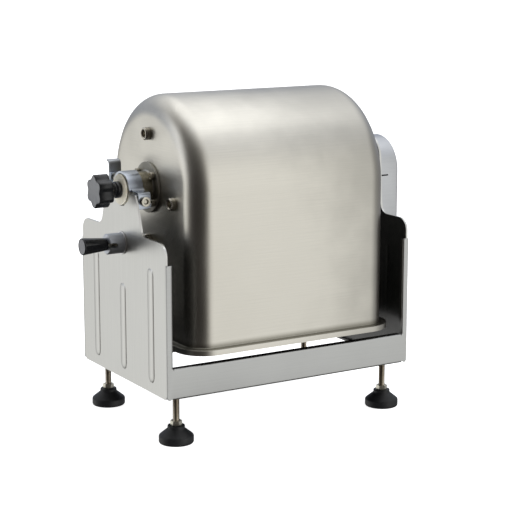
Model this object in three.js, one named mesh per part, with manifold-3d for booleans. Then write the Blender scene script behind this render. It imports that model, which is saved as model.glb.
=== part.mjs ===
// Tilting tank mixer on a levelling stand. Millimetres, +Z up, +X along the tilt axis towards the gear cover,
// -Y towards the front. The origin is the middle of the footprint, on the floor.
import * as THREE from "three";
import { mergeVertices } from "three/addons/utils/BufferGeometryUtils.js";
import Module from "manifold-3d";

const wasm = await Module();
wasm.setup();

// ---------- driving dimensions ----------
const GAP = 0.3; // between pieces that touch
const RUN = 0.3; // radial running clearance of turning and sliding pieces

const STAND_WIDTH = 400; // over the side plates
const STAND_DEPTH = 267; // over the front and rear frames
const FOOT_HEIGHT = 69; // floor to the stand's lower edge
const SHOULDER_HEIGHT = 215.6; // side plate's shoulder above its lower edge
const AXIS_HEIGHT = 273.5; // tilt axis above the stand's lower edge
const PLATE_SHEET = 3;
const PLATE_LIP = 5; // inward lip along a side plate's lower edge
const SHOULDER_RADIUS = 18;
const CORNER_RADIUS = 7; // lower corners of the side plates
const RIB_WIDTH = 8;
const RIB_DEPTH = 1.2;
const RIB_PITCH = 86;
const RIB_BOTTOM = 19;
const RIB_TOP = 172;
const MIDDLE_RIB_TOP = 135.5;

const FRAME_SHEET = 2;
const BEAM_HEIGHT = 43.4;
const POST_WIDTH = 9;
const POST_HEIGHT = 187;
const RETURN_DEPTH = 8; // folded edges of the beam and posts
const FOOT_SHELF = 42; // lower fold of the beam, which carries the feet

const NECK_TOP_HALF = 43.5; // left neck's half width at the tilt axis
const NECK_FOOT_HALF = 57; // left neck's half width just above the shoulder
const NECK_REAR_EXTRA = 5; // the left neck is this much wider at its rear foot
const NECK_FOOT_RISE = 20;
const NECK_FLARE = 16; // how far a neck flares out onto the shoulder
const WIDE_NECK_HALF = 62; // right neck, which carries the gear cover
const WIDE_NECK_FOOT_HALF = 67;
const WIDE_NECK_RISE = 58; // right neck's top above the tilt axis
const WIDE_NECK_CORNER = 34;

const TANK_RADIUS = 130;
const TANK_LENGTH = 323;
const TANK_OFFSET = 5.5; // tank's middle from the stand's middle
const TANK_SHEET = 2;
const TANK_FILLET = 32;
const FILLET_STEPS = 4;
const RIM_DROP = 217.5; // tilt axis to the rim's lower edge
const RIM_HEIGHT = 8;
const RIM_LEDGE = 11;

const TRUNNION_FLANGE_R = 36;
const TRUNNION_FLANGE = 4;
const TRUNNION_HUB_R = 23;
const BOLT_Y = 22;
const BOLT_Z = 19;
const BOLT_SHANK_R = 2.5;
const BOLT_HEAD_R = 5.6;
const BOLT_HEAD = 5.5;
const STRAP_SCREW_HEAD_R = 7;
const STRAP_SCREW_HEAD = 5;
const JOURNAL_R = 16.5;
const BUSH_WALL = 5.5;
const BEARING_INSIDE = 17; // how far the right bearing reaches in past its plate, and out past it
const BEARING_OUTSIDE = 4.5;
const BEARING_FLANGE = 5;
const BEARING_FLANGE_R = 38;
const STRAP_WIDTH = 22;
const STRAP_SHEET = 3;
const STRAP_TAB_Y = 47.6;
const STRAP_TAB_DROP = 21;
const STRAP_BEND = 8; // inside radius where the band turns out into its ears
const STRAP_EAR_RISE = 19;
const SADDLE_FLARE = 5;
const BRACKET_SHEET = 2.5;
const HORN_RISE = 29;
const HORN_CURL_R = 6;
const WASHER_R = 21.5;

const KNOB_R = 23.5;
const KNOB_DEPTH = 22;
const KNOB_LOBES = 6;
const KNOB_SCALLOP = 3.4;
const KNOB_STEM_R = 11.7;
const KNOB_STEM = 17.5;
const KNOB_STUD_R = 8;
const PIVOT_R = 6;

const SHAFT_R = 11;
const PADDLE_REACH = 118;
const PADDLE_SHEET = 5;
const PADDLE_WIDTH = 66;
const PADDLE_CHORD = 26;
const PADDLE_TWIST = 20; // degrees
const PADDLE_PITCH = 76;

const GEAR_MODULE = 2;
const GEAR_TEETH = 40;
const PINION_TEETH = 15;
const GEAR_WIDTH = 12;
const PINION_WIDTH = 15;
const BACKLASH = 0.4;
const COVER_R = 50.5;
const COVER_DEPTH = 40;
const COVER_SHEET = 2.5;
const COVER_CORNER = 14;
const COVER_SLOT = [9, 12, 2]; // from the plate, length and height
const INPUT_SHAFT_R = 8;
const INPUT_STICK_OUT = 18;
const PILLAR_R = 4.5;
const COVER_SCREW_R = 2;

const LOCK_DROP = 75.7; // tilt axis to the locking plunger
const BARREL_R = 14.5;
const BARREL_LENGTH = 24.5;
const BARREL_SLOT = 12;
const SLOT_WIDTH = 6.5;
const LOCK_PIN_R = 5;
const LOCK_TIP_SHORT = 2; // how far the pin's tip stops short of the tank's end wall
const LOCK_BORE_R = 9;
const LOCK_GUIDE = 19; // sleeve inside the side plate
const LOCK_COLLAR = 2;
const CROSS_PIN_R = 2;
const SPRING_R = 7;
const SPRING_WIRE_R = 0.7;
const SPRING_TURNS = 7;
const GRIP_LENGTH = 37;
const GRIP_BIG_R = 12;
const GRIP_SMALL_R = 8.8;
const PIN_IN_GRIP = 12; // how far the pin reaches into its grip
const BOSS_R = 9;
const BOSS_HEIGHT = 8;
const POUR_ANGLE = 79; // degrees from the lowest boss to the pouring boss

const FOOT_X = 174;
const FOOT_Y = 108;
const PAD_R = 24.5;
const PAD_RIM = 10.5;
const PAD_COLLAR_R = 12.2;
const PAD_CONE_TOP = 21;
const PAD_HEIGHT = 25;
const STUD_R = 4.75;
const STUD_ABOVE_STAND = 42;
const NUT_FLATS = 14.3;
const NUT_HEIGHT = 6.5;

// ---------- worked-out places ----------
const axisZ = FOOT_HEIGHT + AXIS_HEIGHT;
const lockZ = axisZ - LOCK_DROP;
const plateOut = STAND_WIDTH / 2;
const plateIn = plateOut - PLATE_SHEET;
const frameOut = STAND_DEPTH / 2;
const plateEdge = frameOut - FRAME_SHEET - GAP;
const tankLeft = TANK_OFFSET - TANK_LENGTH / 2;
const tankRight = TANK_OFFSET + TANK_LENGTH / 2;
const strapOuterR = JOURNAL_R + RUN + BUSH_WALL + GAP + STRAP_SHEET;
const strapInnerR = strapOuterR - STRAP_SHEET;
const saddleMouthR = strapOuterR + SADDLE_FLARE;
const clampIn = plateOut - STRAP_WIDTH; // inner end of the strap, bush and saddle
const gearR = (GEAR_MODULE * GEAR_TEETH) / 2;
const pinionR = (GEAR_MODULE * PINION_TEETH) / 2;
const inputZ = axisZ - gearR - pinionR;
const gearX = plateOut + 8;
const coverEnd = plateOut + COVER_DEPTH;
const coverFloor = inputZ - pinionR - GEAR_MODULE - COVER_CORNER;
const wallBore = SHAFT_R + 4; // hole in the tank's end walls

// ---------- solids ----------
const SHEEN = {
  satin_steel: { color: 0xcfccc2, roughness: 0.35, metalness: 1 },
  stand_steel: { color: 0xc9c9c5, roughness: 0.4, metalness: 1 },
  bright_steel: { color: 0xd2cfc6, roughness: 0.25, metalness: 1 },
  stud_steel: { color: 0xb9aea0, roughness: 0.3, metalness: 1 },
  black_plastic: { color: 0x26272a, roughness: 0.45, metalness: 0 },
  pad_rubber: { color: 0x1d1f21, roughness: 0.7, metalness: 0 },
  nylon: { color: 0xe6e1cf, roughness: 0.5, metalness: 0 },
  gear_steel: { color: 0x8f9093, roughness: 0.4, metalness: 1 },
  bronze: { color: 0xa98850, roughness: 0.4, metalness: 1 },
};

const group = new THREE.Group();

function solid(geometry, matrix = new THREE.Matrix4()) {
  const bare = (geometry.index ? geometry.toNonIndexed() : geometry.clone()).applyMatrix4(matrix);
  bare.deleteAttribute("normal");
  bare.deleteAttribute("uv");
  const merged = mergeVertices(bare, 1e-4);
  return new wasm.Manifold(
    new wasm.Mesh({
      numProp: 3,
      vertProperties: merged.attributes.position.array,
      triVerts: new Uint32Array(merged.index.array),
    }),
  );
}

function place(name, finish, shape) {
  const mesh = shape.getMesh();
  const geometry = new THREE.BufferGeometry();
  geometry.setAttribute("position", new THREE.BufferAttribute(new Float32Array(mesh.vertProperties), 3));
  geometry.setIndex(new THREE.BufferAttribute(new Uint32Array(mesh.triVerts), 1));
  geometry.computeVertexNormals();
  const node = new THREE.Mesh(geometry, new THREE.MeshStandardMaterial(SHEEN[finish]));
  node.name = name;
  group.add(node);
}

// Outlines are drawn in (y, z) and pushed along +X, or in (x, z) and pushed along +Y,
// or in (x, y) and pushed along +Z.
const ALONG_X = new THREE.Matrix4().set(0, 0, 1, 0, 1, 0, 0, 0, 0, 1, 0, 0, 0, 0, 0, 1);
const ALONG_Y = new THREE.Matrix4().set(1, 0, 0, 0, 0, 0, -1, 0, 0, 1, 0, 0, 0, 0, 0, 1);
const shift = (x, y, z) => new THREE.Matrix4().makeTranslation(x, y, z);

function push(shape, depth, segments = 6) {
  return new THREE.ExtrudeGeometry(shape, { depth, bevelEnabled: false, curveSegments: segments });
}
const sheetX = (shape, x, depth, segments) =>
  solid(push(shape, depth, segments), shift(x, 0, 0).multiply(ALONG_X));
const sheetY = (shape, y, depth, segments) =>
  solid(push(shape, depth, segments), shift(0, y + depth, 0).multiply(ALONG_Y));
const sheetZ = (shape, z, depth, segments) => solid(push(shape, depth, segments), shift(0, 0, z));

function box(x0, x1, y0, y1, z0, z1) {
  const geometry = new THREE.BoxGeometry(x1 - x0, y1 - y0, z1 - z0);
  return solid(geometry, shift((x0 + x1) / 2, (y0 + y1) / 2, (z0 + z1) / 2));
}

// A turned piece: profile points are [place along the axis, radius].
const LATHE_TURN = {
  x: new THREE.Matrix4().makeRotationZ(-Math.PI / 2),
  y: new THREE.Matrix4(),
  z: new THREE.Matrix4().makeRotationX(Math.PI / 2),
};
function turned(profile, axis, y, z, x = 0, segments = 24) {
  const points = profile.map(([along, r]) => new THREE.Vector2(r, along));
  if (THREE.ShapeUtils.area(points) < 0) points.reverse();
  if (points[0].x > 0) points.push(points[0].clone());
  return solid(new THREE.LatheGeometry(points, segments), shift(x, y, z).multiply(LATHE_TURN[axis]));
}
const rod = (from, to, r) => [[from, 0], [from, r], [to, r], [to, 0]];
const tube = (from, to, inner, outer) => [[from, inner], [from, outer], [to, outer], [to, inner]];

function roundedRectangle(halfX, halfY, r) {
  const s = new THREE.Shape();
  s.absarc(halfX - r, halfY - r, r, 0, Math.PI / 2);
  s.absarc(r - halfX, halfY - r, r, Math.PI / 2, Math.PI);
  s.absarc(r - halfX, r - halfY, r, Math.PI, 1.5 * Math.PI);
  s.absarc(halfX - r, r - halfY, r, 1.5 * Math.PI, 2 * Math.PI);
  return s;
}

const circle = (y, z, r) => new THREE.Shape().absarc(y, z, r, 0, 2 * Math.PI);
const holeX = (x, depth, y, z, r, segments = 12) => sheetX(circle(y, z, r), x, depth, segments);

// A strip of sheet metal bent along a path in (y, z).
function strip(path, thickness) {
  const middle = path.getPoints(6).filter((p, i, all) => i === 0 || p.distanceTo(all[i - 1]) > 1e-3);
  const side = (sign) =>
    middle.map((p, i) => {
      const before = middle[Math.max(i - 1, 0)];
      const after = middle[Math.min(i + 1, middle.length - 1)];
      const into = p.clone().sub(before).normalize();
      const out = after.clone().sub(p).normalize();
      if (i === 0) into.copy(out);
      if (i === middle.length - 1) out.copy(into);
      const along = into.clone().add(out).normalize();
      const reach = ((sign * thickness) / 2) / along.dot(out);
      return new THREE.Vector2(p.x - along.y * reach, p.y + along.x * reach);
    });
  const outline = [...side(1), ...side(-1).reverse()];
  if (THREE.ShapeUtils.area(outline) < 0) outline.reverse();
  return new THREE.Shape(outline);
}

// ---------- stand ----------
const shoulderZ = FOOT_HEIGHT + SHOULDER_HEIGHT;
const notchR = saddleMouthR + 2 * GAP;
const earUnderside = axisZ - STRAP_SHEET + 0.5;
const forkTop = earUnderside - GAP;

function plateOutline(drawNeck) {
  const s = new THREE.Shape();
  s.moveTo(CORNER_RADIUS - plateEdge, FOOT_HEIGHT);
  s.absarc(plateEdge - CORNER_RADIUS, FOOT_HEIGHT + CORNER_RADIUS, CORNER_RADIUS, -Math.PI / 2, 0);
  s.absarc(plateEdge - SHOULDER_RADIUS, shoulderZ - SHOULDER_RADIUS, SHOULDER_RADIUS, 0, Math.PI / 2);
  drawNeck(s);
  s.absarc(SHOULDER_RADIUS - plateEdge, shoulderZ - SHOULDER_RADIUS, SHOULDER_RADIUS, Math.PI / 2, Math.PI);
  s.absarc(CORNER_RADIUS - plateEdge, FOOT_HEIGHT + CORNER_RADIUS, CORNER_RADIUS, Math.PI, 1.5 * Math.PI);
  return s;
}

function narrowNeck(s) {
  const rear = NECK_FOOT_HALF + NECK_REAR_EXTRA;
  const notchHalf = Math.sqrt(notchR ** 2 - (axisZ - forkTop) ** 2);
  const notchAngle = Math.atan2(forkTop - axisZ, notchHalf);
  s.lineTo(rear + NECK_FLARE, shoulderZ);
  s.quadraticCurveTo(rear + NECK_FLARE / 3, shoulderZ, rear, shoulderZ + NECK_FOOT_RISE);
  s.lineTo(NECK_TOP_HALF, forkTop);
  s.absarc(0, axisZ, notchR, notchAngle, Math.PI - notchAngle, true);
  s.lineTo(-NECK_TOP_HALF, forkTop);
  s.lineTo(-NECK_FOOT_HALF, shoulderZ + NECK_FOOT_RISE);
  s.quadraticCurveTo(-NECK_FOOT_HALF - NECK_FLARE / 3, shoulderZ, -NECK_FOOT_HALF - NECK_FLARE, shoulderZ);
}

function wideNeck(s) {
  const top = axisZ + WIDE_NECK_RISE - WIDE_NECK_CORNER;
  const half = WIDE_NECK_HALF - 4;
  s.lineTo(WIDE_NECK_FOOT_HALF + NECK_FLARE, shoulderZ);
  s.quadraticCurveTo(WIDE_NECK_FOOT_HALF, shoulderZ, WIDE_NECK_FOOT_HALF - 2, shoulderZ + NECK_FOOT_RISE);
  s.lineTo(WIDE_NECK_HALF, axisZ);
  s.absarc(half - WIDE_NECK_CORNER, top, WIDE_NECK_CORNER, 0, Math.PI / 2);
  s.absarc(WIDE_NECK_CORNER - half, top, WIDE_NECK_CORNER, Math.PI / 2, Math.PI);
  s.lineTo(-WIDE_NECK_HALF, axisZ);
  s.lineTo(2 - WIDE_NECK_FOOT_HALF, shoulderZ + NECK_FOOT_RISE);
  s.quadraticCurveTo(-WIDE_NECK_FOOT_HALF, shoulderZ, -WIDE_NECK_FOOT_HALF - NECK_FLARE, shoulderZ);
}

// One pressed rib, as the shallow groove that it leaves in the plate's outer face.
function rib(outerFace, y, top) {
  const r = RIB_WIDTH / 2;
  const s = new THREE.Shape();
  s.absarc(y, FOOT_HEIGHT + top - r, r, 0, Math.PI);
  s.absarc(y, FOOT_HEIGHT + RIB_BOTTOM + r, r, Math.PI, 2 * Math.PI);
  return sheetX(s, outerFace - RIB_DEPTH, 2 * RIB_DEPTH, 3);
}

function sidePlate(side, drawNeck) {
  const outer = side * plateOut;
  const inner = side * plateIn;
  const low = Math.min(outer, inner);
  const lipEdge = inner - side * PLATE_LIP;
  const lipHalf = plateEdge - FOOT_SHELF - CORNER_RADIUS;
  const lipLow = Math.min(lipEdge, inner);
  const lipHigh = Math.max(lipEdge, inner);
  let plate = sheetX(plateOutline(drawNeck), low, PLATE_SHEET, 10).add(
    box(lipLow, lipHigh, -lipHalf, lipHalf, FOOT_HEIGHT, FOOT_HEIGHT + PLATE_SHEET),
  );
  for (const [y, top] of [[-RIB_PITCH, RIB_TOP], [0, MIDDLE_RIB_TOP], [RIB_PITCH, RIB_TOP]])
    plate = plate.subtract(rib(outer, y, top));
  return plate;
}

const lockHoleR = LOCK_BORE_R + GAP;
place(
  "left_side_plate",
  "stand_steel",
  sidePlate(-1, narrowNeck).subtract(holeX(-plateOut - 1, PLATE_SHEET + 2, 0, lockZ, lockHoleR)),
);

const bearingR = JOURNAL_R + RUN + BUSH_WALL;
const pillarSpots = [
  [-38, inputZ + 10],
  [38, inputZ + 10],
  [0, inputZ - pinionR - GEAR_MODULE - 7],
];
let rightPlate = sidePlate(1, wideNeck)
  .subtract(holeX(plateIn - 1, PLATE_SHEET + 2, 0, axisZ, bearingR + GAP))
  .subtract(holeX(plateIn - 1, PLATE_SHEET + 2, 0, inputZ, INPUT_SHAFT_R + RUN));
const pillarEnd = coverEnd - COVER_SHEET - GAP;
for (const [y, z] of pillarSpots)
  rightPlate = rightPlate
    .add(turned(rod(plateOut - 0.5, pillarEnd, PILLAR_R), "x", y, z, 0, 10))
    .subtract(turned(rod(pillarEnd - 10, pillarEnd + 1, COVER_SCREW_R + GAP), "x", y, z, 0, 8));
place("right_side_plate", "stand_steel", rightPlate);

// Low beam with two narrow posts, folded from one sheet, drawn at the front and turned round for the rear.
function frame(side) {
  const left = -plateOut;
  const top = FOOT_HEIGHT + BEAM_HEIGHT;
  const postIn = plateOut - POST_WIDTH;
  const face = new THREE.Shape();
  const r = 4;
  face.moveTo(left, FOOT_HEIGHT + r);
  face.absarc(left + r, FOOT_HEIGHT + r, r, Math.PI, 1.5 * Math.PI);
  face.absarc(-left - r, FOOT_HEIGHT + r, r, 1.5 * Math.PI, 2 * Math.PI);
  face.lineTo(plateOut, FOOT_HEIGHT + POST_HEIGHT);
  face.lineTo(postIn, FOOT_HEIGHT + POST_HEIGHT);
  face.lineTo(postIn, top);
  face.lineTo(-postIn, top);
  face.lineTo(-postIn, FOOT_HEIGHT + POST_HEIGHT);
  face.lineTo(left, FOOT_HEIGHT + POST_HEIGHT);
  const inside = frameOut - FRAME_SHEET;
  const shelfHalf = plateIn - PLATE_LIP - GAP;
  let made = sheetY(face, -frameOut, FRAME_SHEET, 4)
    .add(box(-postIn, postIn, -frameOut, RETURN_DEPTH - frameOut, top - FRAME_SHEET, top))
    .add(box(-shelfHalf, shelfHalf, -inside, FOOT_SHELF - frameOut, FOOT_HEIGHT, FOOT_HEIGHT + FRAME_SHEET));
  const postTop = FOOT_HEIGHT + POST_HEIGHT;
  for (const x of [-postIn, postIn - FRAME_SHEET])
    made = made.add(box(x, x + FRAME_SHEET, -frameOut, RETURN_DEPTH - frameOut, top - FRAME_SHEET, postTop));
  for (const x of [-FOOT_X, FOOT_X])
    made = made.subtract(
      turned(rod(FOOT_HEIGHT - 1, FOOT_HEIGHT + FRAME_SHEET + 1, STUD_R + GAP), "z", -FOOT_Y, 0, x, 16),
    );
  return side < 0 ? made : made.rotate([0, 0, 180]);
}
place("front_frame", "stand_steel", frame(-1));
place("rear_frame", "stand_steel", frame(1));

// ---------- clamp of the left trunnion ----------
// The saddle is the lower half of a pressed sleeve with a belled mouth at the side plate's face.
const saddleProfile = [
  [-plateOut, strapInnerR + 4],
  [-plateOut, saddleMouthR],
  [1.5 - plateOut, saddleMouthR],
  [6 - plateOut, strapOuterR],
  [-clampIn, strapOuterR],
  [-clampIn, strapInnerR],
  [5 - plateOut, strapInnerR],
];
const saddleReach = saddleMouthR + 1;
const below = (z) => box(-plateOut - 1, 1 - clampIn, -saddleReach, saddleReach, axisZ - saddleReach, z);
place(
  "left_saddle",
  "bright_steel",
  turned(saddleProfile, "x", 0, axisZ).intersect(below(forkTop)),
);

// Middle line of the strap, from the foot of its front tab over the journal to the top of its rear ear.
function strapLine() {
  const bandR = strapOuterR - STRAP_SHEET / 2;
  const bendR = STRAP_BEND + STRAP_SHEET / 2;
  const earZ = axisZ + 0.5 - STRAP_SHEET / 2;
  const rise = earZ + bendR - axisZ;
  const bendY = Math.sqrt((bandR + bendR) ** 2 - rise ** 2);
  const lean = Math.atan2(rise, bendY);
  const fold = STRAP_SHEET;
  const tabMiddle = STRAP_TAB_Y - STRAP_SHEET / 2;
  const earMiddle = STRAP_TAB_Y - 1.5 * STRAP_SHEET - BRACKET_SHEET / 2;
  const path = new THREE.Path();
  path.moveTo(-tabMiddle, axisZ - STRAP_TAB_DROP);
  path.lineTo(-tabMiddle, earZ - fold);
  path.absarc(fold - tabMiddle, earZ - fold, fold, Math.PI, Math.PI / 2, true);
  path.absarc(-bendY, earZ + bendR, bendR, -Math.PI / 2, -lean);
  path.absarc(0, axisZ, bandR, Math.PI - lean, lean, true);
  path.absarc(bendY, earZ + bendR, bendR, Math.PI + lean, 1.5 * Math.PI);
  path.absarc(earMiddle - fold, earZ + fold, fold, -Math.PI / 2, 0);
  path.lineTo(earMiddle, axisZ + STRAP_EAR_RISE);
  return path;
}
const strapScrewX = -(plateIn + clampIn) / 2;
const frontScrewZ = axisZ - STRAP_TAB_DROP / 2 - 1;
const rearScrewZ = axisZ + STRAP_EAR_RISE / 2 + 1;
const screwHole = (y0, y1, z) => turned(rod(y0, y1, BOLT_SHANK_R + GAP), "y", 0, z, strapScrewX, 12);
const cutBack = (y0, y1) => box(-plateOut - 1, GAP - plateIn, y0, y1, axisZ - 40, axisZ + 40);
place(
  "left_strap",
  "bright_steel",
  sheetX(strip(strapLine(), STRAP_SHEET), -plateOut, STRAP_WIDTH)
    .subtract(cutBack(-STRAP_TAB_Y - 1, -strapOuterR - 1))
    .subtract(cutBack(strapOuterR + 1, STRAP_TAB_Y + 1))
    .subtract(screwHole(-STRAP_TAB_Y - 1, -strapOuterR, frontScrewZ))
    .subtract(screwHole(strapOuterR, STRAP_TAB_Y + 1, rearScrewZ)),
);
const bracketOut = STRAP_TAB_Y - STRAP_SHEET - GAP;
const bracketIn = bracketOut - BRACKET_SHEET;
place(
  "strap_bracket",
  "bright_steel",
  box(GAP - plateIn, -clampIn, -bracketOut, -bracketIn, axisZ - STRAP_TAB_DROP - 2, forkTop - 2).subtract(
    screwHole(-bracketOut - 1, -bracketIn + 1, frontScrewZ),
  ),
);
function hornLine() {
  const y = STRAP_TAB_Y - 1.5 * STRAP_SHEET - BRACKET_SHEET / 2 + (STRAP_SHEET + BRACKET_SHEET) / 2 + GAP;
  const path = new THREE.Path();
  path.moveTo(y, axisZ - STRAP_TAB_DROP - 2);
  path.lineTo(y, axisZ + HORN_RISE);
  path.absarc(y + HORN_CURL_R, axisZ + HORN_RISE, HORN_CURL_R, Math.PI, Math.PI / 4, true);
  return path;
}
place(
  "rear_horn",
  "bright_steel",
  sheetX(strip(hornLine(), BRACKET_SHEET), GAP - plateIn, STRAP_WIDTH - PLATE_SHEET - GAP).subtract(
    screwHole(0, STRAP_TAB_Y + 20, rearScrewZ),
  ),
);

// A cap screw along Y: its head stands on the face at y, and it points the way that way says.
function capScrew(y, z, way, length) {
  const socket = turned(rod(-STRAP_SCREW_HEAD - 1, -2, 3), "y", 0, 0, 0, 6);
  const profile = [
    [-STRAP_SCREW_HEAD, 0],
    [-STRAP_SCREW_HEAD, STRAP_SCREW_HEAD_R],
    [0, STRAP_SCREW_HEAD_R],
    [0, BOLT_SHANK_R],
    [length, BOLT_SHANK_R],
    [length, 0],
  ];
  const screw = turned(profile, "y", 0, 0, 0, 16).subtract(socket);
  return (way > 0 ? screw : screw.rotate([0, 0, 180])).translate([strapScrewX, y, z]);
}
place("strap_screw_front", "bright_steel", capScrew(-STRAP_TAB_Y - GAP, frontScrewZ, 1, 11));
const rearEarFace = STRAP_TAB_Y - 2 * STRAP_SHEET - BRACKET_SHEET / 2;
place("strap_screw_rear", "bright_steel", capScrew(rearEarFace - GAP, rearScrewZ, 1, 10));

const bushInner = JOURNAL_R + RUN;
place("left_bush", "nylon", turned(tube(-plateOut, -clampIn, bushInner, bearingR), "x", 0, axisZ));

// ---------- locking plunger ----------
const barrelBase = -plateOut - GAP;
const barrelEnd = barrelBase - BARREL_LENGTH;
const slotEnd = barrelEnd + BARREL_SLOT;
const springWall = slotEnd + 3;
const guideEnd = -plateIn + GAP + LOCK_GUIDE;
const guideWall = guideEnd - 3;
const pinHole = LOCK_PIN_R + RUN;
const slotHalf = SLOT_WIDTH / 2;
place(
  "lock_barrel",
  "gear_steel",
  turned(
    [[barrelEnd, pinHole], [barrelEnd, BARREL_R], [barrelBase, BARREL_R], [barrelBase, LOCK_BORE_R],
      [springWall, LOCK_BORE_R], [springWall, pinHole]],
    "x", 0, lockZ,
  ).subtract(box(barrelEnd - 1, slotEnd, -BARREL_R - 1, BARREL_R + 1, lockZ - slotHalf, lockZ + slotHalf)),
);
place(
  "lock_ring",
  "bright_steel",
  turned(tube(barrelBase - 1.6, barrelBase, BARREL_R + GAP, BARREL_R + 1.8), "x", 0, lockZ),
);
place(
  "lock_guide",
  "gear_steel",
  turned(
    [[-plateIn + GAP, LOCK_BORE_R], [-plateIn + GAP, LOCK_BORE_R + 3], [guideEnd, LOCK_BORE_R + 3],
      [guideEnd, pinHole], [guideWall, pinHole], [guideWall, LOCK_BORE_R]],
    "x", 0, lockZ,
  ),
);
const pinTip = tankLeft - LOCK_TIP_SHORT;
const gripFace = barrelEnd - GAP;
const gripEnd = gripFace - GRIP_LENGTH;
const pinEnd = gripFace - PIN_IN_GRIP;
const crossPinX = slotEnd - CROSS_PIN_R - GAP;
const collarEnd = guideWall - GAP;
const boreHole = (x, r, z) => turned(rod(-BARREL_R - 3, BARREL_R + 3, r), "y", 0, z, x, 12);
place(
  "lock_pin",
  "bright_steel",
  turned(
    [[pinEnd, 0], [pinEnd, LOCK_PIN_R], [collarEnd - LOCK_COLLAR, LOCK_PIN_R],
      [collarEnd - LOCK_COLLAR, LOCK_BORE_R - RUN], [collarEnd, LOCK_BORE_R - RUN], [collarEnd, LOCK_PIN_R],
      [pinTip - 1.5, LOCK_PIN_R], [pinTip, LOCK_PIN_R - 1.5], [pinTip, 0]],
    "x", 0, lockZ, 0, 16,
  ).subtract(boreHole(crossPinX, CROSS_PIN_R + GAP, lockZ)),
);
place(
  "lock_cross_pin",
  "bright_steel",
  turned(rod(1 - BARREL_R, BARREL_R - 1, CROSS_PIN_R), "y", 0, lockZ, crossPinX, 10),
);
place(
  "lock_grip",
  "black_plastic",
  turned(
    [[gripEnd, 0], [gripEnd, GRIP_BIG_R - 1], [gripEnd + 1, GRIP_BIG_R],
      [gripFace, GRIP_SMALL_R], [gripFace, LOCK_PIN_R + GAP], [pinEnd - GAP, LOCK_PIN_R + GAP],
      [pinEnd - GAP, 0]],
    "x", 0, lockZ, 0, 16,
  ),
);
class Helix extends THREE.Curve {
  getPoint(t) {
    const turn = 2 * Math.PI * SPRING_TURNS * t;
    const from = springWall + GAP + SPRING_WIRE_R;
    const to = collarEnd - LOCK_COLLAR - GAP - SPRING_WIRE_R;
    const x = from + (to - from) * t;
    return new THREE.Vector3(x, SPRING_R * Math.cos(turn), lockZ + SPRING_R * Math.sin(turn));
  }
}
const wire = new THREE.ExtrudeGeometry(new THREE.Shape(circle(0, 0, SPRING_WIRE_R).getPoints(2).slice(1)), {
  steps: SPRING_TURNS * 10,
  extrudePath: new Helix(),
  bevelEnabled: false,
});
place("lock_spring", "bright_steel", solid(wire));

// ---------- tank ----------
const rimLow = axisZ - RIM_DROP;
const rimTop = rimLow + RIM_HEIGHT;
const halfLength = TANK_LENGTH / 2;

// Half-round top and straight sides, its end edges rounded, as one convex body standing down to z = low.
function tankBody(inset, low) {
  const r = TANK_RADIUS - inset;
  const half = halfLength - inset;
  const f = TANK_FILLET - inset;
  const edge = new THREE.Path();
  edge.moveTo(0, -half);
  edge.lineTo(r - f, -half);
  edge.absarc(r - f, f - half, f, -Math.PI / 2, 0);
  edge.absarc(r - f, half - f, f, 0, Math.PI / 2);
  edge.lineTo(0, half);
  const profile = edge.getPoints(FILLET_STEPS).map((p) => [p.y, p.x]);
  const round = turned(profile, "x", 0, axisZ, TANK_OFFSET, 40);
  return round.add(
    sheetZ(roundedRectangle(half, r, f), low, axisZ - low, FILLET_STEPS).translate([TANK_OFFSET, 0, 0]),
  );
}
function rimPlan(out, low, high) {
  const plan = roundedRectangle(halfLength + out, TANK_RADIUS + out, TANK_FILLET + out);
  return sheetZ(plan, low, high - low, FILLET_STEPS).translate([TANK_OFFSET, 0, 0]);
}
const boltSpots = [[-BOLT_Y, -BOLT_Z], [BOLT_Y, -BOLT_Z], [-BOLT_Y, BOLT_Z], [BOLT_Y, BOLT_Z]];
const rim = rimPlan(RIM_LEDGE, rimLow, rimTop).subtract(
  rimPlan(RIM_LEDGE - TANK_SHEET, rimLow - 1, rimTop - TANK_SHEET),
);
let tank = tankBody(0, rimTop - TANK_SHEET).add(rim).subtract(tankBody(TANK_SHEET, rimLow - 1));
for (const end of [tankLeft, tankRight]) {
  const cut = (y, z, r, segments) => holeX(end - TANK_SHEET - 1, 2 * TANK_SHEET + 2, y, z, r, segments);
  tank = tank.subtract(cut(0, axisZ, wallBore));
  for (const [y, z] of boltSpots) tank = tank.subtract(cut(y, axisZ + z, BOLT_SHANK_R + GAP, 5));
}
place("tank_shell", "satin_steel", tank);

// A flanged trunnion, drawn for the left end: profile from the tank's wall outwards, with two bores.
const hubEnd = -clampIn + 2;
const journalEnd = -plateOut + GAP;
const shaftBore = SHAFT_R + RUN;
const studBore = KNOB_STUD_R + RUN;
const flangeFace = tankLeft - GAP;
const flangeBack = flangeFace - TRUNNION_FLANGE;
let leftTrunnion = turned(
  [[flangeFace, shaftBore], [flangeFace, TRUNNION_FLANGE_R], [flangeBack, TRUNNION_FLANGE_R],
    [flangeBack, TRUNNION_HUB_R], [hubEnd, TRUNNION_HUB_R], [hubEnd, JOURNAL_R],
    [journalEnd, JOURNAL_R], [journalEnd, studBore], [hubEnd, studBore], [hubEnd, shaftBore]],
  "x", 0, axisZ,
);
const rightFlange = tankRight + GAP;
const rightFlangeBack = rightFlange + TRUNNION_FLANGE;
const bearingStart = plateIn - BEARING_INSIDE;
const bearingEnd = plateOut + BEARING_OUTSIDE;
let rightTrunnion = turned(
  [[rightFlange, shaftBore], [rightFlange, TRUNNION_FLANGE_R], [rightFlangeBack, TRUNNION_FLANGE_R],
    [rightFlangeBack, TRUNNION_HUB_R], [bearingStart - 1, TRUNNION_HUB_R],
    [bearingStart - 1, JOURNAL_R], [bearingEnd, JOURNAL_R], [bearingEnd, shaftBore]],
  "x", 0, axisZ,
);
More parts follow.
